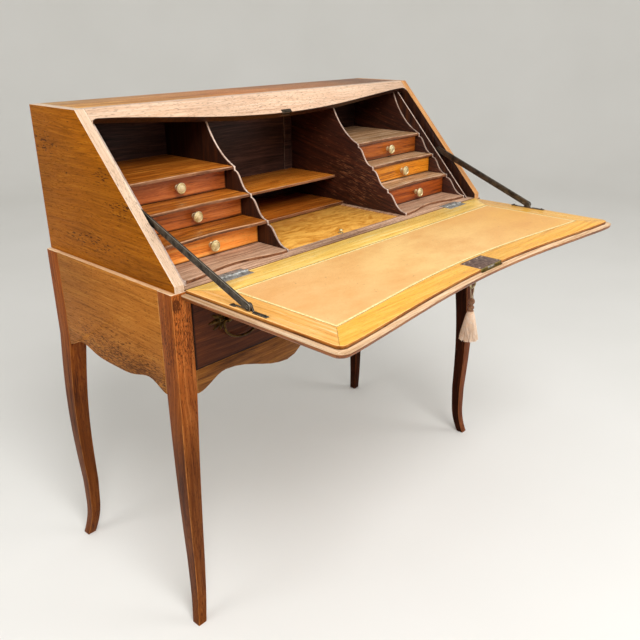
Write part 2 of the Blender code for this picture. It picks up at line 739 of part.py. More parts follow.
def fall_line(half, grow, radius):
    """The fall from above: straight back edge, rounded front corners, hollow front edge."""
    def edge_y(x):
        return hinge.x - fall_reach(min(abs(x), fall_half)) - grow
    line = [(-half, fall_back), (half, fall_back)]
    base_y = edge_y(half - radius)
    for i in range(6):
        turn = math.pi / 2 * i / 5
        line.append((half - radius * (1 - math.cos(turn)), base_y + radius * (1 - math.sin(turn))))
    span = half - radius
    for i in range(1, 40):
        x = span * (1 - i / 20)
        line.append((x, edge_y(x)))
    for i in range(6):
        turn = math.pi / 2 * (5 - i) / 5
        line.append((-half + radius * (1 - math.cos(turn)), base_y + radius * (1 - math.sin(turn))))
    return line


fall_low = write_z - FALL_INNER - FALL_OUTER
fall_step = write_z - FALL_INNER
lip_rings = [(FALL_LIP, fall_step), (FALL_LIP, fall_step - LIP_EDGE)]
for i in range(1, 6):
    turn = math.pi / 2 * i / 5
    lip_rings.append((FALL_LIP - LIP_ROUND * (1 - math.cos(turn)),
                      fall_step - LIP_EDGE - (FALL_OUTER - LIP_EDGE) * math.sin(turn)))
lip_rows = []
for grow, z in reversed(lip_rings):
    radius = CORNER_R + (LIP_R - CORNER_R) * grow / FALL_LIP
    lip_rows.append([(x, y, z) for x, y in fall_line(fall_half + grow, grow, radius)])
fall_board = solid("fall_board", loft(lip_rows), fall_wood, fall_turn)
join(fall_board, extrude(fall_line(fall_half, 0.0, CORNER_R), "z", fall_step - 0.002, write_z))


# Leather: the skin let into the writing board, its front edge following the fall's.
def leather_line(grow):
    """The skin's outline from above."""
    back = fall_back - LEATHER_BACK + grow
    line = [(-leather_x - grow, back), (leather_x + grow, back)]
    for i in range(25):
        x = leather_x * (1 - i / 12)
        line.append((x + math.copysign(grow, x), hinge.x - fall_reach(x) + LEATHER_FRONT - grow))
    return line


cut(fall_board, extrude(leather_line(SEAT), "z", write_z - LEATHER - SEAT, write_z + 0.01))
solid("fall_leather", extrude(leather_line(0.0), "z", write_z - LEATHER, write_z), leather, fall_turn)


# Hinges: two leaves let into sill and fall, rolled round one pin on the hinge line.
def knuckle(low, high, radius):
    """A round stretch of the hinge, along X."""
    return turned([(radius, low), (radius, high)], (0.0, hinge.x, hinge.y), (1, 0, 0), 16)


third = HINGE_LENGTH / 3
leaf = 0.002
notch = KNUCKLE_R + 0.0005
for side_name, side in (("left", -1), ("right", 1)):
    low = side * hinge_x - HINGE_LENGTH / 2
    high = low + HINGE_LENGTH
    edge_low = low + third
    edge_high = high - third
    top = hinge.y - SEAT
    near = hinge.x + notch
    far = near + HINGE_LEAF
    case_leaf = solid("hinge_leaf_case_" + side_name, block((low, near, top - leaf), (high, far, top)), steel)
    for a, b in ((low, edge_low - SEAT), (edge_high + SEAT, high)):
        join(case_leaf, block((a, hinge.x, top - leaf), (b, near + 0.002, top)))
        join(case_leaf, knuckle(a, b, KNUCKLE_R))
    join(case_leaf, knuckle(low + 0.004, high - 0.004, KNUCKLE_R * 0.45))
    cut(case_floor, block((low - SEAT, hinge.x - notch, top - leaf - SEAT),
                          (high + SEAT, far + SEAT, write_z + 0.01)))
    cut(case_floor, block((low - SEAT, hinge.x - notch, write_z - notch),
                          (high + SEAT, near, write_z + 0.01)))
    near = hinge.x - notch
    far = near - HINGE_LEAF
    fall_leaf = solid("hinge_leaf_fall_" + side_name, block((low, far, top - leaf), (high, near, top)),
                      steel, fall_turn)
    join(fall_leaf, block((edge_low, near - 0.002, top - leaf), (edge_high, hinge.x, top)))
    join(fall_leaf, knuckle(edge_low, edge_high, KNUCKLE_R))
    cut(fall_leaf, knuckle(edge_low - 0.001, edge_high + 0.001, KNUCKLE_R * 0.45 + PIN_FIT))
    cut(fall_board, block((low - SEAT, far - SEAT, top - leaf - SEAT),
                          (high + SEAT, hinge.x + notch, write_z + 0.01)))
    cut(fall_board, block((low - SEAT, near, write_z - notch), (high + SEAT, hinge.x + notch, write_z + 0.01)))


# Stays: flat iron bars on the fall's brackets; each runs into the slot beside a nest.
for side_name, side in (("left", -1), ("right", 1)):
    bar_mid = side * stay_x
    ear_in = stay_x - STAY_THICK / 2 - RUN
    plate_low, plate_high = sorted((side * (ear_in - EAR), side * (stay_x + STAY_THICK / 2)))
    bracket = solid("stay_bracket_" + side_name,
                    block((plate_low, pivot_y - BRACKET_LENGTH / 2, write_z + SEAT),
                          (plate_high, pivot_y + BRACKET_LENGTH / 2, write_z + BRACKET)), iron, fall_turn)
    cut(bracket, block((bar_mid - STAY_THICK / 2 - RUN, pivot_y - 0.011, write_z - 0.01),
                       (bar_mid + STAY_THICK / 2 + RUN, pivot_y + 0.030, write_z + 0.01)))
    ear_low, ear_high = sorted((side * (ear_in - EAR), side * ear_in))
    ear = [(pivot_y - 0.010, write_z + SEAT), (pivot_y + 0.010, write_z + SEAT)]
    for i in range(9):
        turn = math.pi * i / 8
        ear.append((pivot_y + 0.0065 * math.cos(turn), pivot_z + 0.0065 * math.sin(turn)))
    join(bracket, extrude(ear, "x", ear_low, ear_high))
    join(bracket, turned([(STAY_PIN, side * (ear_in - stay_x - EAR / 2)), (STAY_PIN, side * STAY_THICK / 2)],
                         (bar_mid, pivot_y, pivot_z), (1, 0, 0), 16))
    hang = pivot("stay_pivot_" + side_name, (bar_mid, pivot_y, pivot_z), fall_turn)
    bar = []
    half_bar = STAY_WIDTH / 2
    for i in range(9):
        turn = math.pi / 2 + math.pi * i / 8
        bar.append(stay_point(half_bar * math.cos(turn), half_bar * math.sin(turn)))
    for i in range(9):
        turn = -math.pi / 2 + math.pi * i / 8
        bar.append(stay_point(peg + half_bar * math.cos(turn), half_bar * math.sin(turn)))
    stay = solid("stay_" + side_name,
                 extrude(bar, "x", bar_mid - STAY_THICK / 2, bar_mid + STAY_THICK / 2), iron, hang)
    cut(stay, turned([(STAY_PIN + PIN_FIT, -0.01), (STAY_PIN + PIN_FIT, 0.01)],
                     (bar_mid, pivot_y, pivot_z), (1, 0, 0), 16))
    peg_y, peg_z = stay_point(peg, 0.0)
    join(stay, turned([(STAY_PEG, side * 0.0005), (STAY_PEG, side * (inner_x - stay_x - 2 * SEAT))],
                      (bar_mid, peg_y, peg_z), (1, 0, 0), 16))


# Lock: a flush case at the fall's front edge; the key throws its bolt into the strike.
edge_y = hinge.x - fall_reach(0.0)
lock_low = write_z - LOCK_THICK
lock_case = solid("lock_case", block((-LOCK_WIDTH / 2, edge_y + SEAT, lock_low),
                                     (LOCK_WIDTH / 2, edge_y + LOCK_DEPTH, write_z)), iron, fall_turn)
cut(fall_board, block((-LOCK_WIDTH / 2 - SEAT, edge_y - 0.004, lock_low - SEAT),
                      (LOCK_WIDTH / 2 + SEAT, edge_y + LOCK_DEPTH + SEAT, write_z + 0.01)))
bolt_high = write_z - bolt_near
bolt_low = bolt_high - BOLT_THICK
cut(lock_case, block((-BOLT_WIDTH / 2 - SEAT, edge_y - 0.01, bolt_low - SEAT),
                     (BOLT_WIDTH / 2 + SEAT, edge_y + BOLT_LENGTH + 0.004, bolt_high + SEAT)))
bolt_path = pivot("bolt_slide", (0.0, edge_y, (bolt_low + bolt_high) / 2), fall_turn)
solid("lock_bolt", block((-BOLT_WIDTH / 2, edge_y + 2 * SEAT, bolt_low),
                         (BOLT_WIDTH / 2, edge_y + BOLT_LENGTH, bolt_high)), steel, bolt_path)


# Key: its shaft stands in the lock from below, with a round bow that the tassel hangs on.
key_y = edge_y + KEY_BACK + 0.006
key_turn = pivot("key_turn", (0.0, key_y, fall_low), fall_turn)
bow_z = fall_low - KEY_DROP
shaft_r = 0.0028
key_top = bolt_low - 0.002
ring_rows = []
for i in range(24):
    turn = 2 * math.pi * i / 24
    ring_rows.append([((BOW_R + BOW_WIRE * math.cos(2 * math.pi * k / 10)) * math.sin(turn),
                       key_y + BOW_WIRE * math.sin(2 * math.pi * k / 10),
                       bow_z + (BOW_R + BOW_WIRE * math.cos(2 * math.pi * k / 10)) * math.cos(turn))
                      for k in range(10)])
bow = bmesh.new()
rows = [[bow.verts.new(point) for point in ring] for ring in ring_rows]
for i in range(24):
    for k in range(10):
        bow.faces.new((rows[i][k], rows[(i + 1) % 24][k], rows[(i + 1) % 24][(k + 1) % 10],
                       rows[i][(k + 1) % 10]))
shaft_low = bow_z + BOW_R - 0.0008
key = solid("key", turned([(shaft_r, shaft_low - fall_low), (shaft_r, fall_low - shaft_low - 0.022),
                           (0.0042, fall_low - shaft_low - 0.0205), (0.0042, -0.0045), (shaft_r, -0.003),
                           (shaft_r, key_top - fall_low)],
                          (0.0, key_y, fall_low), (0, 0, 1), 16), brass, key_turn)
join(key, bow)
bore = turned([(shaft_r + PIN_FIT, -0.01), (shaft_r + PIN_FIT, key_top - fall_low + 0.0005)],
              (0.0, key_y, fall_low), (0, 0, 1), 16)
cut(fall_board, bore)
bore = turned([(shaft_r + PIN_FIT, -0.01), (shaft_r + PIN_FIT, key_top - fall_low + 0.0005)],
              (0.0, key_y, fall_low), (0, 0, 1), 16)
cut(lock_case, bore)


# Tassel: a silk cord looped through the bow, a turned bead and a skirt.
loop_z = bow_z - BOW_R
tassel_turn = pivot("tassel_swing", (0.0, key_y, loop_z), key_turn)
loop_r = BOW_WIRE + CORD_R + SEAT
cord_end = loop_z - CORD_DROP
route = [(0.0, key_y - 0.0016, cord_end), (0.0, key_y - 0.0016, cord_end + 0.004)]
route += [(0.0, key_y - 0.0026, loop_z - 0.012), (0.0, key_y - loop_r, loop_z - 0.006)]
for i in range(9):
    turn = math.pi * i / 8
    route.append((0.0, key_y - loop_r * math.cos(turn), loop_z + loop_r * math.sin(turn)))
route += [(x, 2 * key_y - y, z) for x, y, z in reversed(route[:4])]
line = bpy.data.curves.new("tassel_cord", "CURVE")
line.dimensions = "3D"
line.bevel_depth = CORD_R
line.bevel_resolution = 2
line.use_fill_caps = True
spline = line.splines.new("POLY")
spline.points.add(len(route) - 1)
for point, spot in zip(spline.points, route):
    point.co = (spot[0], spot[1], spot[2], 1.0)
cord = bpy.data.objects.new("tassel_cord", line)
bpy.context.scene.collection.objects.link(cord)
line.materials.append(silk)
cord.parent = tassel_turn
cord.location = -places["tassel_swing"]
head_z = cord_end - SEAT
skirt = [(0.002, 0.0), (0.0055, 0.0015), (0.007, 0.006), (0.0062, 0.0105), (0.0035, 0.0135),
         (0.0035, 0.015), (0.006, 0.0165), (0.0065, 0.021), (0.0045, 0.0235), (0.0075, 0.028),
         (TASSEL_R * 0.75, 0.040), (TASSEL_R * 0.93, 0.060), (TASSEL_R, TASSEL_LENGTH),
         (TASSEL_R * 0.6, TASSEL_LENGTH + 0.001)]
solid("tassel", turned(skirt, (0.0, key_y, head_z), (0, 0, -1), 20), silk, tassel_turn)
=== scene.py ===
"""Slant-front writing desk with its fall open: the looks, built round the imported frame.

The file follows the desk as a maker puts it together, from the legs up to the tassel on the key.
Sizes are metres in the desk's own frame, whose origin lies on the floor under the middle of the base.
"""

import math
import random

import bmesh
import bpy
from mathutils import Matrix, Vector


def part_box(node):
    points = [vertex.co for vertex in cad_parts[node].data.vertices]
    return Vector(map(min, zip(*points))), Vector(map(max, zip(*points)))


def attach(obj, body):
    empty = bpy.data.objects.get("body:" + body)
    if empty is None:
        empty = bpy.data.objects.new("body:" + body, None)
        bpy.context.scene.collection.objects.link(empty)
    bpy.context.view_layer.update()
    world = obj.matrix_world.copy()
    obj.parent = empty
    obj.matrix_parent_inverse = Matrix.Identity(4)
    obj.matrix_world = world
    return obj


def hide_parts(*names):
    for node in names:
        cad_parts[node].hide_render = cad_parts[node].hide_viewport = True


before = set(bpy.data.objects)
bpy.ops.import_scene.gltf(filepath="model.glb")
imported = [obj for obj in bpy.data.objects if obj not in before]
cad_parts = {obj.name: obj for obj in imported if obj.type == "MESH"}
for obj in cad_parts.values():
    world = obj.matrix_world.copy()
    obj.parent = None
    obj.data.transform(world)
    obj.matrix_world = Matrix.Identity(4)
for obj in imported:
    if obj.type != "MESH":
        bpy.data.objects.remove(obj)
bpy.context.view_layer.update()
home = Vector((0.0, (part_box("side_apron_left")[0].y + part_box("side_apron_left")[1].y) / 2, 0.0))


# Camera: a slightly long lens at the left front corner, a little above the desk, looking down
# across the open fall at the photograph's angle. Everything is in focus.
def show(name, data):
    """A new object in the scene that shows the data."""
    made = bpy.data.objects.new(name, data)
    bpy.context.scene.collection.objects.link(made)
    return made


eye = home + Vector((-1.1599, -1.1493, 1.1361))
yaw, pitch, roll = 0.8314, -0.3917, -0.0037
ahead = Vector((math.sin(yaw) * math.cos(pitch), math.cos(yaw) * math.cos(pitch), math.sin(pitch)))
level = Vector((math.cos(yaw), -math.sin(yaw), 0.0))
upright = level.cross(ahead)
right_hand = math.cos(roll) * level + math.sin(roll) * upright
overhead = math.cos(roll) * upright - math.sin(roll) * level
stand = Matrix((right_hand, overhead, -ahead)).transposed().to_4x4()
stand.translation = eye
lens = bpy.data.cameras.new("camera")
lens.sensor_width = 36.0
lens.lens = 39.66
camera = show("camera", lens)
camera.matrix_world = stand
bpy.context.scene.camera = camera
bpy.context.scene.view_settings.view_transform = "Standard"


# Studio: a round floor of pale painted board whose rim curves up into a backdrop, so that every
# side of the desk is seen against the same plain tone, under three large soft lamps.
def linear(code):
    """An sRGB hex colour as linear red, green, blue and alpha."""
    parts = [int(code[i:i + 2], 16) / 255 for i in (1, 3, 5)]
    return tuple(c / 12.92 if c <= 0.04045 else ((c + 0.055) / 1.055) ** 2.4 for c in parts) + (1.0,)


def blank(name):
    """A new material with its node tree and its shader."""
    made = bpy.data.materials.new(name)
    made.use_nodes = True
    return made, made.node_tree, made.node_tree.nodes["Principled BSDF"]


def put(tree, kind, inputs, **settings):
    """Add a node, set it, link or set its inputs, and give back its outputs."""
    made = tree.nodes.new("ShaderNode" + kind)
    for key, value in settings.items():
        setattr(made, key, value)
    for key, value in inputs.items():
        if isinstance(value, bpy.types.NodeSocket):
            tree.links.new(value, made.inputs[key])
        else:
            made.inputs[key].default_value = value
    return made.outputs


floor_radius, cove_radius, wall_height = 4.2, 1.6, 5.0
cove = bmesh.new()
profile = [cove.verts.new((r, 0.0, 0.0)) for r in (0.0, 0.8, 2.0, floor_radius)]
for k in range(1, 9):
    bend = math.pi / 2 * k / 8
    profile.append(cove.verts.new((floor_radius + cove_radius * math.sin(bend), 0.0,
                                   cove_radius * (1 - math.cos(bend)))))
profile.append(cove.verts.new((floor_radius + cove_radius, 0.0, wall_height)))
profile += [cove.edges.new(pair) for pair in zip(profile, profile[1:])]
bmesh.ops.spin(cove, geom=profile, cent=(0, 0, 0), axis=(0, 0, 1), angle=2 * math.pi, steps=96,
               use_merge=True)
bmesh.ops.remove_doubles(cove, verts=cove.verts, dist=1e-5)
bmesh.ops.recalc_face_normals(cove, faces=cove.faces)
if max(cove.faces, key=lambda face: -face.calc_center_median().length).normal.z < 0:
    bmesh.ops.reverse_faces(cove, faces=cove.faces)
cove_mesh = bpy.data.meshes.new("studio_floor")
cove.to_mesh(cove_mesh)
cove.free()
cove_mesh.shade_smooth()
show("studio_floor", cove_mesh)

# Painted board: a matt pale grey with the faint cloudiness of a rolled coat.
board_paint, tree, shader = blank("matt_painted_board")
cloud = put(tree, "TexNoise", {"Vector": put(tree, "TexCoord", {})["Object"], "Scale": 1.5, "Detail": 2.0})[0]
tone = put(tree, "Mix", {0: cloud, 6: linear("#E0DFDB"), 7: linear("#E9E8E5")}, data_type="RGBA")[2]
tree.links.new(tone, shader.inputs["Base Color"])
shader.inputs["Roughness"].default_value = 0.9
shader.inputs["Specular IOR Level"].default_value = 0.1
cove_mesh.materials.append(board_paint)

for name, place, size, power in (("key_lamp", (-1.2, -2.2, 3.2), 2.2, 118.0),
                                 ("side_lamp", (-3.0, 0.6, 1.7), 1.8, 22.0),
                                 ("front_lamp", (2.2, -2.6, 1.9), 1.8, 30.0)):
    lamp = bpy.data.lights.new(name, "AREA")
    lamp.shape = "DISK"
    lamp.size = size
    lamp.energy = power
    holder = show(name, lamp)
    holder.location = place
    holder.rotation_mode = "QUATERNION"
    holder.rotation_quaternion = (Vector((0.0, 0.0, 0.65)) - Vector(place)).to_track_quat("-Z", "Y")

world = bpy.data.worlds.new("studio_air")
bpy.context.scene.world = world
world.use_nodes = True
world.node_tree.nodes["Background"].inputs["Color"].default_value = linear("#F4F2EE")
world.node_tree.nodes["Background"].inputs["Strength"].default_value = 0.62


# Legs: four square cabriole legs of solid walnut, sawn to a slow curve and finished with a drawknife.
# Each runs up past the frame as a corner post, so its grain stands upright all the way.
half_w, half_d, base_height = 0.504, 0.2105, 0.720
leg_top, leg_foot, knee_top, knee_end = 0.040, 0.020, 0.530, 0.150
knee_out, foot_out, foot_rise = 0.006, 0.012, 0.090


def timber(name, deep, body, pale, run, seed, streak=9.0, fibre=1.5, wave=6.0, pores=0.45, blotch=0.18,
           worn="#DDB58C", rough=0.42, gloss=0.2, coat=0.03, lay=None, marks=(), dash=(9.0, 1.2),
           dent_tone=None, fade=None, tint=None):
    """Polished wood: grain bands, fibres and pores along run, cloudy patches, pale arrises of wear and painted
    highlight, and painted shade where it is marked.

    Streak, fibre and wave are the width of a band, of a fibre and the drift of the grain, in mm. Each
    mark is a centre, a reach and a strength for a group of dents, whose length and width dash gives in mm.
    Fade is a low height, a high one and the share of the colour that is left at the low one. Lay and tint
    are functions for wood whose grain or colour changes from place to place.
    """
    made, tree, shader = blank(name)
    place = put(tree, "TexCoord", {})["Object"]
    if lay is None:
        turn = Vector(run).rotation_difference(Vector((1.0, 0.0, 0.0))).to_euler()
        spot = put(tree, "Mapping", {"Vector": place, "Rotation": turn})[0]
    else:
        spot = lay(tree, place)
    spot = put(tree, "VectorMath", {0: spot, 1: (seed, seed * 1.7, seed * 0.6)}, operation="ADD")[0]
    stretch = put(tree, "VectorMath", {0: spot, 1: (2.6, 9.0, 9.0)}, operation="MULTIPLY")[0]
    sway = put(tree, "TexNoise", {"Vector": stretch, "Scale": 1.0, "Detail": 2.0})["Color"]
    sway = put(tree, "VectorMath", {0: sway, 1: (0.5, 0.5, 0.5)}, operation="SUBTRACT")[0]
    sway = put(tree, "VectorMath", {0: sway, "Scale": wave * 0.004}, operation="SCALE")[0]
    bent = put(tree, "VectorMath", {0: spot, 1: sway}, operation="ADD")[0]
    width = 1000.0 / streak
    band = put(tree, "VectorMath", {0: bent, 1: (4.0, width, width)}, operation="MULTIPLY")[0]
    band = put(tree, "TexNoise", {"Vector": band, "Scale": 1.0, "Detail": 4.0, "Roughness": 0.6})[0]
    width = 1000.0 / fibre
    thread = put(tree, "VectorMath", {0: bent, 1: (18.0, width, width)}, operation="MULTIPLY")[0]
    thread = put(tree, "TexNoise", {"Vector": thread, "Scale": 1.0, "Detail": 2.0})[0]
    grain = put(tree, "Mix", {0: 0.38, 2: band, 3: thread}, data_type="FLOAT")[0]
    low = put(tree, "MapRange", {0: grain, 1: 0.34, 2: 0.51}, interpolation_type="SMOOTHSTEP")[0]
    high = put(tree, "MapRange", {0: grain, 1: 0.49, 2: 0.66}, interpolation_type="SMOOTHSTEP")[0]
    colour = put(tree, "Mix", {0: low, 6: linear(deep), 7: linear(body)}, data_type="RGBA")[2]
    colour = put(tree, "Mix", {0: high, 6: colour, 7: linear(pale)}, data_type="RGBA")[2]
    patch = put(tree, "TexNoise", {"Vector": stretch, "Scale": 1.3, "Detail": 3.0})[0]
    patch = put(tree, "MapRange", {0: patch, 1: 0.3, 2: 0.7, 3: 1 - blotch, 4: 1 + blotch})[0]
    colour = put(tree, "VectorMath", {0: colour, "Scale": patch}, operation="SCALE")[0]
    pore = put(tree, "VectorMath", {0: bent, 1: (90.0, 820.0, 820.0)}, operation="MULTIPLY")[0]
    pore = put(tree, "TexNoise", {"Vector": pore, "Scale": 1.0, "Detail": 1.0})[0]
    pore = put(tree, "MapRange", {0: pore, 1: 0.60, 2: 0.70, 4: pores})[0]
    dark = tuple(c * 0.35 for c in linear(deep)[:3]) + (1.0,)
    colour = put(tree, "Mix", {0: pore, 6: colour, 7: dark}, data_type="RGBA")[2]
    if marks:
        dent = (1000.0 / dash[0], 1000.0 / dash[1], 1000.0 / dash[1])
        dent = put(tree, "VectorMath", {0: bent, 1: dent}, operation="MULTIPLY")[0]
        dent = put(tree, "TexNoise", {"Vector": dent, "Scale": 1.0, "Detail": 1.0})[0]
        for centre, reach, strength in marks:
            near = put(tree, "VectorMath", {0: place, 1: Vector(centre) + home}, operation="SUBTRACT")[0]
            near = put(tree, "VectorMath", {0: near, 1: reach}, operation="DIVIDE")[0]
            near = put(tree, "VectorMath", {0: near}, operation="LENGTH")["Value"]
            near = put(tree, "MapRange", {0: near, 1: 1.0, 2: 0.35, 3: 0.0, 4: 0.2 * strength})[0]
            dent = put(tree, "Math", {0: dent, 1: near}, operation="ADD")[0]
        dent = put(tree, "MapRange", {0: dent, 1: 0.70, 2: 0.76, 4: 0.85})[0]
        colour = put(tree, "Mix", {0: dent, 6: colour, 7: linear(dent_tone) if dent_tone else dark},
                     data_type="RGBA")[2]
    if tint is not None:
        colour = tint(tree, place, colour)
    if fade is not None:
        shade = put(tree, "SeparateXYZ", {0: place})[2]
        shade = put(tree, "MapRange", {0: shade, 1: fade[0], 2: fade[1], 3: fade[2]})[0]
        colour = put(tree, "VectorMath", {0: colour, "Scale": shade}, operation="SCALE")[0]
    # Pale arrises: wear, and along the shelf edges a painted highlight.
    rub_and_highlight = put(tree, "Attribute", {}, attribute_name="worn")["Fac"]
    patchy = put(tree, "TexNoise", {"Vector": spot, "Scale": 45.0, "Detail": 3.0})[0]
    patchy = put(tree, "MapRange", {0: patchy, 1: 0.38, 2: 0.58, 3: 0.25})[0]
    rub_and_highlight = put(tree, "Math", {0: rub_and_highlight, 1: patchy}, operation="MULTIPLY")[0]
    colour = put(tree, "Mix", {0: rub_and_highlight, 6: colour, 7: linear(worn)}, data_type="RGBA")[2]
    # Painted shade: where the painted_shade attribute is set, the colour goes towards near black, for gaps and
    # corners in shadow.
    painted_shade_share = put(tree, "Attribute", {}, attribute_name="painted_shade")["Fac"]
    colour = put(tree, "Mix", {0: painted_shade_share, 6: colour, 7: linear("#1A0D08")}, data_type="RGBA")[2]
    tree.links.new(colour, shader.inputs["Base Color"])
    dull = put(tree, "MapRange", {0: thread, 1: 0.3, 2: 0.7, 3: rough + 0.08, 4: rough - 0.06})[0]
    dull = put(tree, "Math", {0: pore, 1: 0.25, 2: dull}, operation="MULTIPLY_ADD")[0]
    tree.links.new(dull, shader.inputs["Roughness"])
    relief = put(tree, "Math", {0: pore, 1: -1.0, 2: thread}, operation="MULTIPLY_ADD")[0]
    relief = put(tree, "Bump", {"Height": relief, "Strength": 0.25, "Distance": 0.0006})[0]
    tree.links.new(relief, shader.inputs["Normal"])
    shader.inputs["Specular IOR Level"].default_value = gloss
    shader.inputs["Coat Weight"].default_value = coat
    shader.inputs["Coat Roughness"].default_value = 0.14
    return made


def ease(shape, width, chosen=None, segments=2):
    """Round off the sharp arrises that chosen allows, and mark the rounding for the pale colour of wear and
    painted highlight.
    """
    worn = shape.verts.layers.float.get("worn") or shape.verts.layers.float.new("worn")
    shape.normal_update()
    sharp = [edge for edge in shape.edges if edge.is_manifold and edge.calc_face_angle() > math.radians(28)]
    if chosen is not None:
        sharp = [edge for edge in sharp if chosen(edge)]
    made = bmesh.ops.bevel(shape, geom=sharp, offset=width, offset_type="OFFSET", affect="EDGES",
                           segments=segments, profile=0.5, material=-1, clamp_overlap=True)
    rounded = set(made["faces"])
    for vert in made["verts"]:
        if vert.is_valid and all(face in rounded for face in vert.link_faces):
            vert[worn] = 1.0
    bmesh.ops.dissolve_degenerate(shape, dist=2e-6, edges=shape.edges)
    return shape


def settle(shape, name, body, finishes, stands_for=(), at=(0.0, 0.0, 0.0), pick=None, sharp=32.0):
    """Make a shape an object with its finishes that rides on a body in place of its CAD nodes."""
    bmesh.ops.translate(shape, vec=at, verts=shape.verts)
    if pick is not None:
        shape.normal_update()
        for face in shape.faces:
            face.material_index = pick(face)
    mesh = bpy.data.meshes.new(name)
    shape.to_mesh(mesh)
    shape.free()
    for finish in finishes:
        mesh.materials.append(finish)
    mesh.shade_smooth()
    mesh.set_sharp_from_angle(angle=math.radians(sharp))
    made = show(name, mesh)
    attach(made, body)
    if stands_for:
        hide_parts(*stands_for)
    return made


# Walnut, upright: oiled and waxed brown wood with long pores, darker towards the floor.
leg_walnut = timber("walnut_upright_waxed", "#562507", "#904810", "#AA5E1E", (0, 0, 1), 0.31, streak=6.0,
                    pores=0.55, worn="#96602C", gloss=0.08, dash=(7.0, 1.3), fade=(0.38, 0.66, 0.45),
                    marks=[((-0.505, -0.19, 0.62), (0.02, 0.03, 0.10), 0.7)])
# Walnut, front of the left post: a brighter orange copy of the leg walnut, painted light on the face towards
# the lamps, with upright dark pits and a knot at its head.
lit_post_walnut = timber("walnut_post_painted_light", "#6A3010", "#A85A22", "#C07234", (0, 0, 1), 0.38, streak=5.0,
                     pores=0.6, worn="#B8763A", gloss=0.06, coat=0.0, dash=(6.5, 1.2), fade=(0.38, 0.66, 0.38),
                     marks=[((-0.484, -0.2105, 0.64), (0.05, 0.03, 0.10), 1.0),
                            ((-0.496, -0.2105, 0.70), (0.012, 0.02, 0.02), 1.5)])
# Walnut, dark: the right-hand legs, darkened as painted shade for the fall's shadow; their fronts take a
# brighter red copy as painted light.
shaded_walnut = timber("walnut_dark_painted_shade", "#180803", "#2E1206", "#461E0C", (0, 0, 1), 0.52, streak=7.0,
                     pores=0.5, worn="#6A3618", rough=0.55, gloss=0.03, coat=0.0)
lit_red_walnut = timber("walnut_red_painted_light", "#32150A", "#6A3416", "#8A4E26", (0, 0, 1), 0.58, streak=6.0,
                    pores=0.5, worn="#8A5228", rough=0.5, gloss=0.08)
# Walnut end grain and ledge: the top of the frame, a pale peach on its upward faces.
ledge_walnut = timber("walnut_ledge_peach", "#B07A4A", "#D6AC80", "#E6C8A4", (0, 1, 0), 0.77, streak=5.0,
                      pores=0.4, blotch=0.1, worn="#E8CDAC", gloss=0.4, coat=0.1)

for end_name, end in (("front", -1), ("back", 1)):
    for side_name, side in (("left", -1), ("right", 1)):
        shape = bmesh.new()
        bmesh.ops.create_cube(shape, size=1.0)
        bmesh.ops.scale(shape, vec=(leg_top, leg_top, base_height), verts=shape.verts)
        bmesh.ops.translate(shape, vec=(0.0, 0.0, base_height / 2), verts=shape.verts)
        tall = [edge for edge in shape.edges if edge.calc_length() > 0.5]
        bmesh.ops.subdivide_edges(shape, edges=tall, cuts=63, use_grid_fill=True)
        for vert in shape.verts:
            z = vert.co.z
            out = 0.0
            if knee_end < z < knee_top:
                out += knee_out * math.sin(math.pi * (z - knee_end) / (knee_top - knee_end))
            if z < foot_rise:
                out += foot_out * (1 - z / foot_rise) ** 2
            wide = leg_foot + (leg_top - leg_foot) * min(1.0, z / knee_top)
            vert.co.x = side * (half_w + out - (wide if vert.co.x < 0 else 0.0))
            vert.co.y = end * (half_d + out - (wide if vert.co.y < 0 else 0.0))
        shape.normal_update()
        bmesh.ops.recalc_face_normals(shape, faces=shape.faces)
        ease(shape, 0.0011, segments=3)
        # Painted light and shade: the front legs' front faces take a lit copy of the wood, and the right legs a
        # shaded one.
        woods = ([leg_walnut, ledge_walnut, lit_post_walnut] if side < 0
                 else [shaded_walnut, ledge_walnut, lit_red_walnut])
        settle(shape, "walnut_leg_" + end_name + "_" + side_name, "desk", woods,
               ["leg_" + end_name + "_" + side_name], home,
               lambda face: 1 if face.normal.z > 0.25 and face.calc_center_median().z > 0.715
               else 2 if face.normal.y < -0.7 and end < 0 else 0)


# Base frame: two shaped side aprons, a front apron with a kneehole arch and a plain back rail, tenoned
# into the posts. The side panels have lain against rough things, so their lower half is pitted.
def copied(node):
    """A node's skin welded into one shape with whole flat faces, to be worked further."""
    shape = bmesh.new()
    shape.from_mesh(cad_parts[node].data)
    bmesh.ops.remove_doubles(shape, verts=shape.verts, dist=2e-5)
    bmesh.ops.dissolve_limit(shape, angle_limit=math.radians(0.6), use_dissolve_boundaries=False,
                             verts=shape.verts, edges=shape.edges)
    return shape


# Walnut panel: tan, fine level grain, the lower half covered with short dark dents.
apron_walnut = timber("walnut_side_panel", "#814C18", "#9E6022", "#B0742F", (0, 1, 0), 1.31, streak=5.0,
                      pores=0.6, worn="#CB965A", gloss=0.05, coat=0.0, dash=(10.0, 1.4), dent_tone="#482206",
                      marks=[((-0.5, -0.02, 0.500), (0.1, 0.32, 0.135), 1.05),
                             ((-0.5, -0.12, 0.495), (0.1, 0.12, 0.080), 0.55),
                             ((0.5, 0.02, 0.55), (0.1, 0.22, 0.08), 1.0)])
# Walnut front: browner, level grain along the apron.
front_walnut = timber("walnut_front_apron", "#46250A", "#744416", "#8E5C24", (1, 0, 0), 1.9, streak=6.0,
                      worn="#B07A40", gloss=0.1)

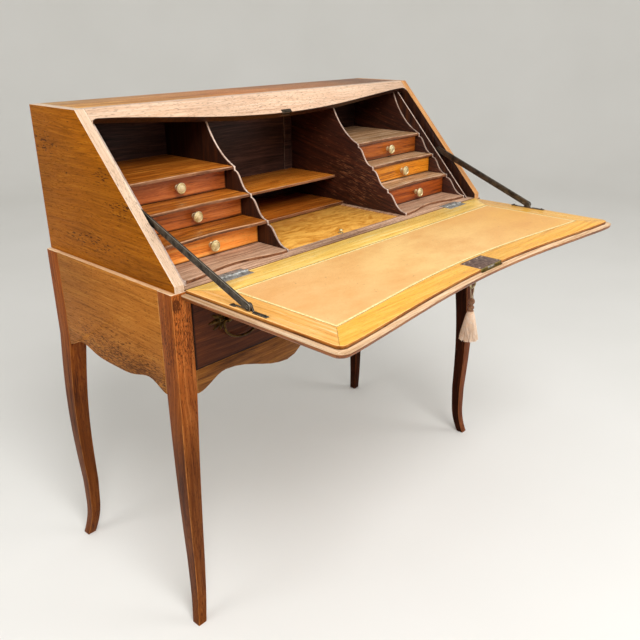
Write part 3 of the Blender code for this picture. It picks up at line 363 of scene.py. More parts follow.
for side_name in ("left", "right"):
    settle(ease(copied("side_apron_" + side_name), 0.0012), "walnut_side_apron_" + side_name, "desk",
           [apron_walnut, ledge_walnut], ["side_apron_" + side_name],
           pick=lambda face: int(face.normal.z > 0.8 and face.calc_center_median().z > 0.7))
settle(ease(copied("front_apron"), 0.0012), "walnut_front_apron", "desk", [front_walnut],
       ["front_apron"])
settle(ease(copied("back_rail"), 0.0012), "walnut_back_rail", "desk", [front_walnut, ledge_walnut],
       ["back_rail"], pick=lambda face: int(face.normal.z > 0.8))


# Drawer housings, floor and well: plain secondary boards nailed up inside the frame. The floor comes
# forward as a sill that the fall's hinges are let into, scuffed pale by things slid over it.
# Secondary oak: dry, unfinished brown boards.
plain_oak = timber("oak_secondary_dry", "#6A4A2A", "#94703F", "#AF8C58", (0, 1, 0), 2.2, streak=8.0,
                   worn="#B99A6C", rough=0.62, coat=0.0)
# Sill: the same brown wood scuffed to a pinkish grey.
sill_wood = timber("walnut_sill_scuffed", "#6E4A34", "#A98368", "#C9A78E", (1, 0, 0), 2.7, streak=6.0,
                   pores=0.5, blotch=0.25, worn="#D6BBA6", rough=0.5,
                   marks=[((0.0, -0.2, 0.7225), (0.5, 0.02, 0.02), 0.5)])
for side_name in ("left", "right"):
    settle(ease(copied("drawer_housing_" + side_name), 0.0008), "oak_housing_" + side_name, "desk",
           [plain_oak], ["drawer_housing_" + side_name])
settle(ease(copied("well_box"), 0.0008), "oak_well", "desk", [plain_oak],
       ["well_box"])
settle(copied("case_floor"), "walnut_sill", "desk", [sill_wood, front_walnut], ["case_floor"],
       pick=lambda face: int(face.normal.y < -0.7))


# Case sides: one walnut board each, with a sloped front edge that the fall closes on. The outer face is
# honey brown with level grain, an old scar and groups of dents; the sloped edge is pale, on the left partly a
# painted sheen.
# Walnut side: honey-orange, fine wavy level grain.
side_walnut = timber("walnut_case_side", "#7A4204", "#955408", "#A66412", (0, 1, 0), 3.1, streak=4.0, fibre=1.2,
                     wave=9.0, pores=0.6, blotch=0.24, worn="#C98A48", gloss=0.04, coat=0.0, dash=(12.0, 2.4),
                     dent_tone="#3C1806",
                     marks=[((-0.496, 0.165, 0.935), (0.05, 0.055, 0.030), 0.82),
                            ((-0.496, -0.02, 0.895), (0.05, 0.040, 0.022), 0.75),
                            ((-0.496, -0.075, 0.845), (0.05, 0.055, 0.024), 0.85),
                            ((-0.496, 0.05, 0.765), (0.05, 0.14, 0.025), 0.6),
                            ((0.496, 0.03, 0.84), (0.05, 0.1, 0.08), 0.7)])
# Left stile: the sloped edge, pale peach wood with fine dark pores along it, its pallor partly a painted sheen.
sheen_stile_walnut = timber("walnut_stile_painted_sheen", "#C09C80", "#D2B498", "#DDC8B0", (0, 0.68, 0.73), 3.6, streak=5.0,
                      pores=0.45, blotch=0.1, worn="#F0DCC2", gloss=0.4, coat=0.1, dash=(7.0, 0.9),
                      marks=[((-0.486, -0.1, 0.84), (0.05, 0.14, 0.16), 0.45)])
# Right stile: the same edge in orange-tan, without the left stile's painted sheen.
amber_walnut = timber("walnut_stile_amber", "#A0632C", "#CB8D4E", "#DCA76C", (0, 0.68, 0.73), 3.8, streak=5.0,
                      pores=0.5, blotch=0.12, worn="#E6C49A", gloss=0.4, coat=0.1)
# Mahogany inside: nearly black red-brown with faint red grain.
inside_wood = timber("mahogany_dark_inside", "#190B06", "#2F170E", "#48240F", (0, 0, 1), 4.2, streak=7.0,
                     pores=0.3, worn="#8D6A56", coat=0.1)
for side_name, side, stile_wood in (("left", -1, sheen_stile_walnut), ("right", 1, amber_walnut)):
    shape = ease(copied("case_side_" + side_name), 0.0010,
                 lambda edge: all(abs(vert.co.x) > 0.49 for vert in edge.verts))
    settle(shape, "walnut_case_side_" + side_name, "desk",
           [side_walnut, inside_wood, stile_wood], ["case_side_" + side_name],
           pick=lambda face: 0 if face.normal.x * side > 0.7 or face.normal.y > 0.7
           else 1 if face.normal.x * side < -0.7 else 2)


# Case top and back: a polished top board between the sides, and two long level boards behind. A slim
# upright lath covers the corner between the back and the right partition.
def top_tones_and_sheen(tree, place, colour):
    """The top's tones: pale pinkish at the left from a painted reflection, orange in the middle, darker brown
    at the right.
    """
    x = put(tree, "SeparateXYZ", {0: place})[0]
    left = put(tree, "MapRange", {0: x, 1: -0.10, 2: -0.50})[0]
    right = put(tree, "MapRange", {0: x, 1: 0.05, 2: 0.40})[0]
    share = put(tree, "Mix", {0: left, 4: (1.05, 1.0, 0.7), 5: (1.2, 1.7, 2.4)}, data_type="VECTOR")[1]
    share = put(tree, "Mix", {0: right, 4: share, 5: (0.50, 0.46, 0.33)}, data_type="VECTOR")[1]
    return put(tree, "VectorMath", {0: colour, 1: share}, operation="MULTIPLY")[0]


# Walnut top: glossy brown-orange, the most polished face of the desk.
top_walnut = timber("walnut_top_polished", "#6E360A", "#B26A26", "#CC8E4A", (1, 0, 0), 5.3, streak=8.0,
                    wave=9.0, pores=0.4, blotch=0.3, worn="#E4BE94", rough=0.4, gloss=0.15,
                    coat=0.08, tint=top_tones_and_sheen)
settle(ease(copied("case_top"), 0.0010), "walnut_case_top", "desk", [top_walnut], ["case_top"])


def plank(low, high, width=0.0006):
    """A board between two corners with its arrises eased."""
    shape = bmesh.new()
    bmesh.ops.create_cube(shape, size=1.0)
    bmesh.ops.scale(shape, vec=Vector(high) - Vector(low), verts=shape.verts)
    bmesh.ops.translate(shape, vec=(Vector(low) + Vector(high)) / 2, verts=shape.verts)
    return ease(shape, width)


def gather(shapes):
    """Several shapes as one, each still its own closed skin."""
    whole = bmesh.new()
    for shape in shapes:
        single = bpy.data.meshes.new("single")
        shape.to_mesh(single)
        shape.free()
        whole.from_mesh(single)
        bpy.data.meshes.remove(single)
    return whole


back_y, back_end, back_x, back_low, back_high = 0.188, 0.2075, 0.4757, 0.7203, 0.9887
back_joint, lath_low, lath_high = 0.7895, 0.166, 0.192
# Mahogany back: dark red-brown boards, grain level.
back_wood = timber("mahogany_back_boards", "#1E1411", "#3B2620", "#573B31", (1, 0, 0), 5.8, streak=7.0,
                   pores=0.4, worn="#8D7464", gloss=0.15)
boards = [plank((-back_x, back_y, back_low), (back_x, back_end, back_joint), 0.0012),
          plank((-back_x, back_y, back_joint), (back_x, back_end, back_high), 0.0012),
          plank((lath_low, back_y - 0.004, 0.7930), (lath_high, back_y, back_high - 0.001), 0.0011)]
settle(gather(boards), "mahogany_case_back", "desk", [back_wood], ["case_back"], home)


# Top rail and strike: the bellied rail above the fall, its lower edge cut to the curve that the fall's
# hollow edge meets. An iron angle let into it takes the lock's bolt.
def metal(name, bright, dark, rough, scale, seed, rubbed_and_highlight="#F2E6C4", metallic=1.0):
    """Old metal: bright where it is handled and along arrises with a painted highlight, tarnished in cloudy
    patches, finely scratched.

    Scale is the number of tarnish patches in a metre.
    """
    made, tree, shader = blank(name)
    spot = put(tree, "TexCoord", {})["Object"]
    spot = put(tree, "VectorMath", {0: spot, 1: (seed, seed * 1.3, seed * 0.7)}, operation="ADD")[0]
    cloud = put(tree, "TexNoise", {"Vector": spot, "Scale": scale, "Detail": 5.0, "Roughness": 0.65})[0]
    tarnish = put(tree, "MapRange", {0: cloud, 1: 0.38, 2: 0.64})[0]
    colour = put(tree, "Mix", {0: tarnish, 6: linear(bright), 7: linear(dark)}, data_type="RGBA")[2]
    speck = put(tree, "TexNoise", {"Vector": spot, "Scale": scale * 8.0, "Detail": 2.0})[0]
    speck = put(tree, "MapRange", {0: speck, 1: 0.62, 2: 0.72, 4: 0.7})[0]
    black = tuple(c * 0.25 for c in linear(dark)[:3]) + (1.0,)
    colour = put(tree, "Mix", {0: speck, 6: colour, 7: black}, data_type="RGBA")[2]
    # Bright arrises: rubbing, and on the stays a painted highlight along the edges.
    rub_and_highlight = put(tree, "Attribute", {}, attribute_name="worn")["Fac"]
    rub_and_highlight = put(tree, "Math", {0: rub_and_highlight, 1: 0.75}, operation="MULTIPLY")[0]
    colour = put(tree, "Mix", {0: rub_and_highlight, 6: colour, 7: linear(rubbed_and_highlight)}, data_type="RGBA")[2]
    # Painted shade: where the painted_shade attribute is set, the colour goes towards black, as in the screw
    # slots.
    painted_shade_share = put(tree, "Attribute", {}, attribute_name="painted_shade")["Fac"]
    colour = put(tree, "Mix", {0: painted_shade_share, 6: colour, 7: black}, data_type="RGBA")[2]
    tree.links.new(colour, shader.inputs["Base Color"])
    shader.inputs["Metallic"].default_value = metallic
    dull = put(tree, "MapRange", {0: cloud, 1: 0.3, 2: 0.7, 3: rough - 0.08, 4: rough + 0.18})[0]
    tree.links.new(dull, shader.inputs["Roughness"])
    scratch = put(tree, "VectorMath", {0: spot, 1: (60.0, 900.0, 900.0)}, operation="MULTIPLY")[0]
    scratch = put(tree, "TexNoise", {"Vector": scratch, "Scale": 1.0, "Detail": 2.0})[0]
    relief = put(tree, "Math", {0: speck, 1: -1.0, 2: scratch}, operation="MULTIPLY_ADD")[0]
    relief = put(tree, "Bump", {"Height": relief, "Strength": 0.2, "Distance": 0.0003})[0]
    tree.links.new(relief, shader.inputs["Normal"])
    return made


# Rail walnut: pale pinkish peach wood like the left stile, its pallor partly a painted sky reflection, its
# pores running along the rail.
rail_walnut = timber("walnut_rail_painted_sheen", "#BE977A", "#D2AF92", "#DFC3AA", (1, 0, 0), 6.1, streak=4.0, pores=0.8,
                     blotch=0.14, worn="#F0DCC6", rough=0.36, gloss=0.4, coat=0.15, dash=(8.0, 0.9),
                     marks=[((0.0, 0.0, 0.98), (0.45, 0.08, 0.05), 0.35)])
# Strike iron: browned iron worn brighter by the bolt.
brown_iron = metal("iron_browned", "#5A5044", "#2C241C", 0.45, 60.0, 1.0, rubbed_and_highlight="#8F8778")
settle(ease(copied("top_rail"), 0.0008, lambda edge: any(abs(vert.co.x) < 0.47 for vert in edge.verts)),
       "walnut_top_rail", "desk", [rail_walnut, inside_wood], ["top_rail"],
       pick=lambda face: int(face.normal.z < -0.35 or abs(face.normal.x) > 0.5))
settle(ease(copied("strike_plate"), 0.0002), "iron_strike", "desk", [brown_iron], ["strike_plate"])


# Partitions and nests: thin dark boards whose front edges step down in scallops over the drawers, with a
# straight lining outside them, a base board and three shelves whose front edges are hollow.
write_z, slope, crest_y = 0.7225, 0.82205, 0.0426
ceiling, seat, shelf_thick = 0.989, 0.0003, 0.006
partition_x, outer_x, board_thick, lining_thick = 0.2000009, 0.454, 0.006, 0.004
shelf_tops = (0.7288, 0.7788, 0.8268, 0.8768)
shelf_fronts = (-0.189, -0.132, -0.085, -0.038)
shelf_hollows = (0.020, 0.008, 0.004, 0.004)


def arc(start, first, second, end, steps):
    """Points after the start along a cubic curve."""
    line = []
    for i in range(1, steps + 1):
        t = i / steps
        weights = ((1 - t) ** 3, 3 * t * (1 - t) ** 2, 3 * t * t * (1 - t), t ** 3)
        line.append(tuple(sum(w * point[k] for w, point in zip(weights, (start, first, second, end)))
                          for k in (0, 1)))
    return line


def prism(outline, axis, low, high):
    """An outline in the plane across an axis, given depth along it."""
    shape = bmesh.new()
    order = {"x": (2, 0, 1), "y": (0, 2, 1), "z": (0, 1, 2)}[axis]
    face = shape.faces.new([shape.verts.new([(a, b, low)[i] for i in order]) for a, b in outline])
    grown = bmesh.ops.extrude_face_region(shape, geom=[face])
    moved = [item for item in grown["geom"] if isinstance(item, bmesh.types.BMVert)]
    bmesh.ops.translate(shape, vec=[(0.0, 0.0, high - low)[i] for i in order], verts=moved)
    bmesh.ops.recalc_face_normals(shape, faces=shape.faces)
    return shape


tip_drop = 0.001
tips = [(front, top_z - (tip_drop if k else 0.0))
        for k, (front, top_z) in enumerate(zip(shelf_fronts, shelf_tops))]
scallops = []
for low_tip, high_tip in zip(tips, tips[1:]):
    rise_y = high_tip[0] - low_tip[0]
    rise_z = high_tip[1] - low_tip[1]
    shoulder = (high_tip[0] - 0.02 * rise_y, high_tip[1] - 0.16 * rise_z)
    scallops.append(low_tip)
    scallops += arc(low_tip, (low_tip[0] + 0.64 * rise_y, low_tip[1] + 0.04 * rise_z),
                    (high_tip[0] - 0.40 * rise_y, shoulder[1] - 0.01 * rise_z), shoulder, 16)
tip = tips[-1]
head_y = crest_y + 0.018 / math.sin(slope) - (1.005 - ceiling) / math.tan(slope) + 0.004
scallops.append(tip)
scallops += arc(tip, (tip[0] + 0.042, tip[1] + 0.016), (head_y - 0.018, tip[1] + 0.058),
                (head_y, ceiling - seat), 20)
scallops += [(back_y - seat, ceiling - seat), (back_y - seat, write_z + seat),
             (shelf_fronts[0], write_z + seat)]

# Worn edge: the boards' front edges, rubbed through the finish to a pinkish grey.
edge_wood = timber("mahogany_edge_rubbed", "#8A6C5E", "#BFA797", "#D8C6BA", (0, 0.5, 0.87), 7.3, streak=4.0,
                   pores=0.5, blotch=0.25, worn="#D8C6BA", rough=0.45)
# Shelf edge: brown wood below the upper arris, whose pale line is wear and a painted highlight.
nosing_wood = timber("walnut_shelf_nosing", "#3E2010", "#74462A", "#94684A", (1, 0, 0), 7.6, streak=5.0,
                     pores=0.5, blotch=0.3, worn="#B98E6C", rough=0.45)
# Red mahogany: the right partition, whose red grain catches the light, with pale scratches.
red_wood = timber("mahogany_red_inside", "#1C0C07", "#351910", "#522817", (0, 0.97, 0.24), 7.9, streak=6.0,
                  pores=0.3, worn="#A07A66", gloss=0.25, coat=0.1, dash=(24.0, 1.2), dent_tone="#83553A",
                  marks=[((0.197, -0.03, 0.79), (0.02, 0.14, 0.08), 0.58)])
# Shelf wood, left: honey-gold boards with dark streaks.
shelf_gold = timber("walnut_shelf_gold", "#3E1A03", "#985012", "#CC8230", (1, 0, 0), 8.1, streak=8.0, wave=10.0,
                    pores=0.5, blotch=0.3, worn="#CFA67E", rough=0.36, gloss=0.25, coat=0.08)
# Shelf wood, right: the same boards worn greyish by use.
shelf_grey = timber("walnut_shelf_worn", "#6A4222", "#B0865E", "#D8B898", (1, 0, 0), 8.6, streak=8.0, wave=9.0,
                    pores=0.5, blotch=0.3, worn="#E6D2C0", gloss=0.3, coat=0.1)
lining_low = crest_y - (1.005 - write_z - seat) / math.tan(slope) + 0.024
lining_high = crest_y - (1.005 - ceiling) / math.tan(slope) + 0.024
lining = [(back_y - seat, ceiling - seat), (back_y - seat, write_z + seat), (lining_low, write_z + seat),
          (lining_high, ceiling - seat)]
for side_name, side, panel, shelf_wood in (("left", -1, inside_wood, shelf_gold),
                                           ("right", 1, red_wood, shelf_grey)):
    for name, node, near in (("mahogany_partition_", "partition_", partition_x - board_thick / 2),
                             ("mahogany_nest_side_", "nest_", outer_x)):
        low, high = sorted((side * near, side * (near + board_thick)))
        settle(ease(prism(scallops, "x", low, high), 0.0013), name + side_name, "desk",
               [panel, edge_wood], [node + side_name], home,
               lambda face: int(abs(face.normal.x) < 0.35), sharp=40.0)
    low, high = sorted((side * (outer_x + board_thick), side * (outer_x + board_thick + lining_thick)))
    settle(ease(prism(lining, "x", low, high), 0.0007), "mahogany_lining_" + side_name, "desk",
           [inside_wood, edge_wood], ["nest_" + side_name], home,
           lambda face: int(face.normal.y < -0.5), sharp=40.0)
    for level, top_z, front, hollow in zip(("base", "low", "middle", "high"), shelf_tops, shelf_fronts,
                                           shelf_hollows):
        near_x = partition_x + board_thick / 2 + seat
        line = [(outer_x, back_y - seat), (near_x, back_y - seat)]
        for i in range(33):
            t = i / 32
            line.append((near_x + (outer_x - near_x) * t, front + hollow * math.sin(math.pi * t) ** 2))
        line = [(side * x, y) for x, y in line]
        low_z = write_z + seat if level == "base" else top_z - shelf_thick
        # The rounded top front arris takes the pale wear colour, a painted highlight along each shelf edge.
        shape = ease(prism(line, "z", low_z, top_z), 0.0021, segments=3,
                     chosen=lambda edge: all(vert.co.z > top_z - 1e-5 and vert.co.y < 0.1
                                             for vert in edge.verts)
                     and abs(edge.verts[0].co.x - edge.verts[1].co.x) > 1e-4)
        settle(shape, "walnut_shelf_" + side_name + "_" + level, "desk",
               [shelf_wood if level != "base" else sill_wood, nosing_wood],
               ["nest_" + side_name], home, lambda face: int(face.normal.y < -0.6), sharp=40.0)


# Middle compartment: one plain shelf, a raised board behind the well and a sliding lid over it, veneered
# with figured walnut and drawn by a small turned pull.
middle_x, shelf_z, shelf_front, rear_front, rear_high = 0.1967, 0.7925, 0.034, 0.005, 0.7298
# Rear board: orange polished walnut.
rear_wood = timber("walnut_rear_orange", "#4C2002", "#984E0E", "#BC7428", (1, 0, 0), 9.2, streak=8.0,
                   worn="#D6AE84", gloss=0.3, coat=0.1)
# Centre shelf: the brightest of the boards, streaked gold.
centre_wood = timber("walnut_centre_shelf", "#5E2A04", "#C06C1C", "#E09A40", (1, 0, 0), 9.7, streak=8.0,
                     wave=10.0, pores=0.5, blotch=0.3, worn="#D6AE84", rough=0.36, gloss=0.25, coat=0.08)
settle(plank((-middle_x, shelf_front, shelf_z - shelf_thick), (middle_x, back_y - seat, shelf_z), 0.0016),
       "walnut_center_shelf", "desk", [centre_wood, nosing_wood], ["center_shelf"], home,
       lambda face: int(face.normal.y < -0.7))
settle(plank((-middle_x, rear_front, write_z + seat), (middle_x, back_y - seat, rear_high), 0.0008),
       "walnut_rear_board", "desk", [rear_wood, nosing_wood], ["rear_board"], home,
       lambda face: int(face.normal.y < -0.7))

# Figured walnut: golden veneer, browner at the back, with lively level figure and dark specks.
burl, tree, shader = blank("walnut_figured_veneer")
place = put(tree, "TexCoord", {})["Object"]
swirl = put(tree, "TexNoise", {"Vector": place, "Scale": 14.0, "Detail": 3.0})["Color"]
swirl = put(tree, "VectorMath", {0: swirl, "Scale": 0.05}, operation="SCALE")[0]
swirl = put(tree, "VectorMath", {0: place, 1: swirl}, operation="ADD")[0]
figure = put(tree, "VectorMath", {0: swirl, 1: (0.22, 1.0, 1.0)}, operation="MULTIPLY")[0]
rings = put(tree, "TexNoise", {"Vector": figure, "Scale": 90.0, "Detail": 6.0, "Roughness": 0.62})[0]
tone = put(tree, "MapRange", {0: rings, 1: 0.30, 2: 0.66}, interpolation_type="SMOOTHSTEP")[0]
tone = put(tree, "Mix", {0: tone, 6: linear("#C27A22"), 7: linear("#F4B654")}, data_type="RGBA")[2]
depth = put(tree, "VectorMath", {0: place, 1: home}, operation="SUBTRACT")[0]
x, y, z = put(tree, "SeparateXYZ", {0: depth})
depth = put(tree, "Math", {0: x, 1: -0.35, 2: y}, operation="MULTIPLY_ADD")[0]
depth = put(tree, "MapRange", {0: depth, 1: -0.10, 2: 0.06, 4: 0.62}, interpolation_type="SMOOTHSTEP")[0]
tone = put(tree, "Mix", {0: depth, 6: tone, 7: linear("#8E4E12")}, data_type="RGBA")[2]
knot = put(tree, "TexVoronoi", {"Vector": swirl, "Scale": 70.0})[0]
knot = put(tree, "MapRange", {0: knot, 1: 0.11, 2: 0.04, 4: 0.8})[0]
tone = put(tree, "Mix", {0: knot, 6: tone, 7: linear("#553009")}, data_type="RGBA")[2]
rub_and_highlight = put(tree, "Attribute", {}, attribute_name="worn")["Fac"]
tone = put(tree, "Mix", {0: rub_and_highlight, 6: tone, 7: linear("#D8AE68")}, data_type="RGBA")[2]
tree.links.new(tone, shader.inputs["Base Color"])
tree.links.new(put(tree, "MapRange", {0: rings, 3: 0.28, 4: 0.42})[0], shader.inputs["Roughness"])
relief = put(tree, "Bump", {"Height": rings, "Strength": 0.12, "Distance": 0.0005})[0]
tree.links.new(relief, shader.inputs["Normal"])
shader.inputs["Specular IOR Level"].default_value = 0.35
shader.inputs["Coat Weight"].default_value = 0.1
shader.inputs["Coat Roughness"].default_value = 0.14
settle(ease(copied("well_lid"), 0.0008), "burl_well_lid", "well_lid", [burl], ["well_lid"])


def facing(axis):
    """The turn that brings upright things round to another axis."""
    return Vector((0, 0, 1)).rotation_difference(Vector(axis)).to_matrix().to_4x4()


def turned(profile, at, axis, steps=28):
    """A turned shape: radius and height pairs spun about an axis through a point."""
    shape = bmesh.new()
    verts = [shape.verts.new((r, 0.0, h)) for r, h in profile]
    edges = [shape.edges.new(pair) for pair in zip(verts, verts[1:])]
    bmesh.ops.spin(shape, geom=verts + edges, cent=(0, 0, 0), axis=(0, 0, 1), angle=2 * math.pi, steps=steps,
                   use_merge=True)
    bmesh.ops.remove_doubles(shape, verts=shape.verts, dist=1e-6)
    bmesh.ops.recalc_face_normals(shape, faces=shape.faces)
    shape.transform(Matrix.Translation(at) @ facing(axis))
    return shape


# Pale brass: knobs and the lid's pull, polished by fingers, darker in the hollows.
knob_brass = metal("brass_knob_polished", "#EFE2B8", "#BFA870", 0.36, 90.0, 2.0, rubbed_and_highlight="#FFF4CF",
                   metallic=0.75)
low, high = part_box("well_lid_pull")
spot = Vector(((low.x + high.x) / 2, (low.y + high.y) / 2, low.z))
tall = high.z - low.z
wide = (high.x - low.x) / 2
# Each step of the pull: shares of its radius and of its height.
pull_steps = ((0.0, 0.0), (1.0, 0.0), (1.0, 0.08), (0.8, 0.14), (0.42, 0.2), (0.4, 0.45), (0.66, 0.6),
              (0.78, 0.75), (0.62, 0.92), (0.3, 1.0), (0.0, 1.0))
settle(turned([(wide * across, tall * up) for across, up in pull_steps], spot, (0, 0, 1)),
       "brass_lid_pull", "well_lid", [knob_brass], ["well_lid_pull"])


# Small drawers: six thin-fronted boxes, dovetailed and sprung into the nests, each with a turned knob.
# Their fronts are red-brown with painted shade along the rim, for the gap round each front, and every front has
# its own tone.
def fronted(node, depth, width, rim):
    """A drawer with its front board's arrises eased and its face bordered for a rim of painted shade."""
    shape = copied(node)
    face_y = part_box(node)[0].y
    parts = list(shape.verts) + list(shape.edges) + list(shape.faces)
    bmesh.ops.bisect_plane(shape, geom=parts, dist=1e-6, plane_co=(0.0, face_y + depth, 0.0),
                           plane_no=(0, 1, 0))
    ease(shape, width, lambda edge: all(vert.co.y < face_y + 1e-5 for vert in edge.verts))
    painted_shade = shape.verts.layers.float.new("painted_shade")
    worn = shape.verts.layers.float["worn"]
    face = max((face for face in shape.faces if face.normal.y < -0.9), key=lambda face: face.calc_area())
    bmesh.ops.inset_region(shape, faces=[face], thickness=rim, use_even_offset=True)
    inner = set(face.verts)
    # The outer ring of the face is painted shade for the gap round the front, without pale wear.
    for vert in shape.verts:
        if vert not in inner and vert.co.y < face_y + width + 1e-5:
            vert[painted_shade] = 0.95
            vert[worn] = 0.0
    return shape


# Drawer lining: pale dry wood of the boxes.
lining_wood = timber("limewood_drawer_sides", "#A07C4E", "#C7A471", "#DCC196", (0, 1, 0), 10.4, streak=7.0,
                     pores=0.25, worn="#E4CFAA", rough=0.6, coat=0.0)
knob_profile = [(0.0, 0.0), (0.0056, 0.0), (0.0056, 0.0009), (0.0042, 0.0016), (0.0038, 0.0036),
                (0.0040, 0.0064), (0.0058, 0.0084), (0.0086, 0.0098), (0.0106, 0.0110), (0.0112, 0.0122),
                (0.0112, 0.0138), (0.0107, 0.0150), (0.0097, 0.0155), (0.0089, 0.0142), (0.0080, 0.0142),
                (0.0074, 0.0152), (0.0040, 0.0158), (0.0, 0.016)]
front_thick, front_ease, front_rim = 0.009, 0.0007, 0.0040
# The low left front is lifted brighter than its wood, painted light against the stay's shade.
tones = {"left_low": ("#B85C20", "#FA9438", "#FFB45E"), "left_middle": ("#703410", "#C26628", "#D88240"),
         "left_high": ("#602A10", "#A45424", "#BC6E38"), "right_low": ("#5A2208", "#9E4812", "#B86226"),
         "right_middle": ("#8E4C0A", "#DC841A", "#F0A436"), "right_high": ("#5E2808", "#9E5016", "#B86A2A")}
for k, (name, (deep, body, pale)) in enumerate(tones.items()):
    node = "small_drawer_" + name
    # Mahogany front: polished red-brown veneer laid level.
    front_wood = timber("mahogany_front_" + name, deep, body, pale, (1, 0, 0), 11.0 + 0.7 * k, streak=7.0,
                        pores=0.35, worn="#D9A97E", rough=0.36, gloss=0.3, coat=0.1)
    face_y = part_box(node)[0].y
    settle(fronted(node, front_thick, front_ease, front_rim), "mahogany_" + node, node,
           [front_wood, lining_wood], [node],
           pick=lambda face: int(face.calc_center_median().y > face_y + front_thick + 1e-5))
    low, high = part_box("knob_" + name)
    spot = ((low.x + high.x) / 2, high.y, (low.z + high.z) / 2)
    settle(turned(knob_profile, spot, (0, -1, 0)), "brass_knob_" + name, node, [knob_brass],
           ["knob_" + name])


# Deep drawers: dark dovetailed boxes in the base, level with the apron. Each front carries a cast brass
# plate of leaf sprays, pinned on, with two eyes that hold a hanging bail.
# Dark drawer mahogany: deep red-brown, with painted shade along the rim.
drawer_wood = timber("mahogany_deep_drawer", "#2C1204", "#4C220B", "#643414", (1, 0, 0), 16.2, streak=7.0,
                     pores=0.4, worn="#8A5428", gloss=0.08)
# Dark brass: cast plates and bails with black dirt in the hollows and yellow high spots.
plate_brass = metal("brass_cast_dark", "#5E4622", "#281A0A", 0.45, 120.0, 3.0, rubbed_and_highlight="#9A7A44")
post_x, bail_drop, bail_radius, handle_z = 0.036, 0.042, 0.0026, 0.644
drawer_low, drawer_high, eye_y = 0.2417, 0.4632, -0.2193
deep_thick, deep_ease, deep_rim = 0.016, 0.0009, 0.004
plate_back, bar_half, bar_thick, bar_rise = 0.0085, 0.050, 0.0016, 0.0034
eye_bore = bail_radius + 0.0004
eye_post = [(0.0, -0.0002), (0.0078, -0.0002), (0.0078, 0.0010), (0.0060, 0.0018), (0.0034, 0.0024),
            (0.0030, 0.0046), (0.0, 0.0046)]
eye_ring = [(eye_bore, -0.0038), (0.0048, -0.0038), (0.0052, -0.0030), (0.0052, 0.0030), (0.0048, 0.0038),
            (eye_bore, 0.0038), (eye_bore, -0.0038)]
# Each leaf of a spray: how far out, how high, its tilt, half its length and half its width.
leaves = ((0.064, 0.000, 0.0, 0.0135, 0.0045), (0.058, 0.009, 0.55, 0.0110, 0.0042),
          (0.058, -0.009, -0.55, 0.0110, 0.0042), (0.047, 0.011, 1.05, 0.0085, 0.0036),
          (0.047, -0.011, -1.05, 0.0085, 0.0036), (0.022, 0.004, 2.7, 0.0100, 0.0034),
          (0.022, -0.004, -2.7, 0.0100, 0.0034), (0.006, 0.000, 3.1, 0.0090, 0.0045))
for side_name, side in (("left", -1), ("right", 1)):
    node = "drawer_" + side_name
    face_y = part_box(node)[0].y
    settle(fronted(node, deep_thick, deep_ease, deep_rim), "mahogany_" + node, node,
           [drawer_wood, lining_wood], [node],
           pick=lambda face: int(face.calc_center_median().y > face_y + deep_thick + 1e-5))
    node = "handle_plate_" + side_name
    middle = Vector((side * (drawer_low + drawer_high) / 2, eye_y + plate_back, handle_z)) + home
    spray = []
    for way in (-1, 1):
        for reach, rise, tilt, long, wide in leaves:
            leaf = bmesh.new()
            bmesh.ops.create_uvsphere(leaf, u_segments=20, v_segments=14, radius=1.0)
            for vert in leaf.verts:
                taper = 1.0 - 0.45 * vert.co.x
                ridge = 1.0 - 0.55 * abs(vert.co.z)
                vert.co = (vert.co.x * long, vert.co.y * 0.0022 * ridge, vert.co.z * wide * taper)
            leaf.transform(Matrix.Translation(middle + Vector((way * reach, 0.0, rise)))
                           @ Matrix.Scale(way, 4, (1, 0, 0)) @ Matrix.Rotation(-tilt, 4, "Y"))
            leaf.normal_update()
            bmesh.ops.recalc_face_normals(leaf, faces=leaf.faces)
            spray.append(leaf)
        eye_at = middle + Vector((way * post_x, 0.0, 0.0))
        spray.append(turned(eye_post, eye_at, (0, -1, 0)))
        spray.append(turned(eye_ring, eye_at - Vector((0.0, plate_back, 0.0)), (1, 0, 0)))
    spray.append(plank(middle + Vector((-bar_half, -bar_thick, -bar_rise)),
                       middle + Vector((bar_half, 0.0, bar_rise)), 0.0008))
    settle(gather(spray), "brass_" + node, "drawer_" + side_name, [plate_brass], [node], sharp=50.0)
    path = [((post_x - 0.003, 0.0), (post_x - 0.003, 0.0), (post_x, 0.0)),
            ((post_x + 0.006, 0.0), (post_x + 0.003, 0.0), (post_x + 0.0125, 0.0)),
            ((post_x + 0.007, -0.022), (post_x + 0.0125, -0.013), (post_x + 0.001, -0.032)),
            ((0.0, -bail_drop), (0.020, -bail_drop), (-0.020, -bail_drop))]
    path += [((-at[0], at[1]), (-after[0], after[1]), (-before[0], before[1]))
             for at, before, after in reversed(path[:-1])]
    line = bpy.data.curves.new("bail_line", "CURVE")
    line.dimensions = "3D"
    line.bevel_depth = bail_radius
    line.bevel_resolution = 4
    line.resolution_u = 14
    line.use_fill_caps = True
    spline = line.splines.new("BEZIER")
    spline.bezier_points.add(len(path) - 1)
    middle = Vector((side * (drawer_low + drawer_high) / 2, eye_y, handle_z)) + home
    for point, (at, before, after) in zip(spline.bezier_points, path):
        point.co = middle + Vector((at[0], 0.0, at[1]))
        point.handle_left = middle + Vector((before[0], 0.0, before[1]))
        point.handle_right = middle + Vector((after[0], 0.0, after[1]))
    drawn = bpy.data.objects.new("bail_line", line)
    shape = bmesh.new()
    shape.from_mesh(drawn.to_mesh())
    bpy.data.objects.remove(drawn)
    bmesh.ops.remove_doubles(shape, verts=shape.verts, dist=1e-6)
    node = "bail_" + side_name
    settle(shape, "brass_" + node, node, [plate_brass], [node])


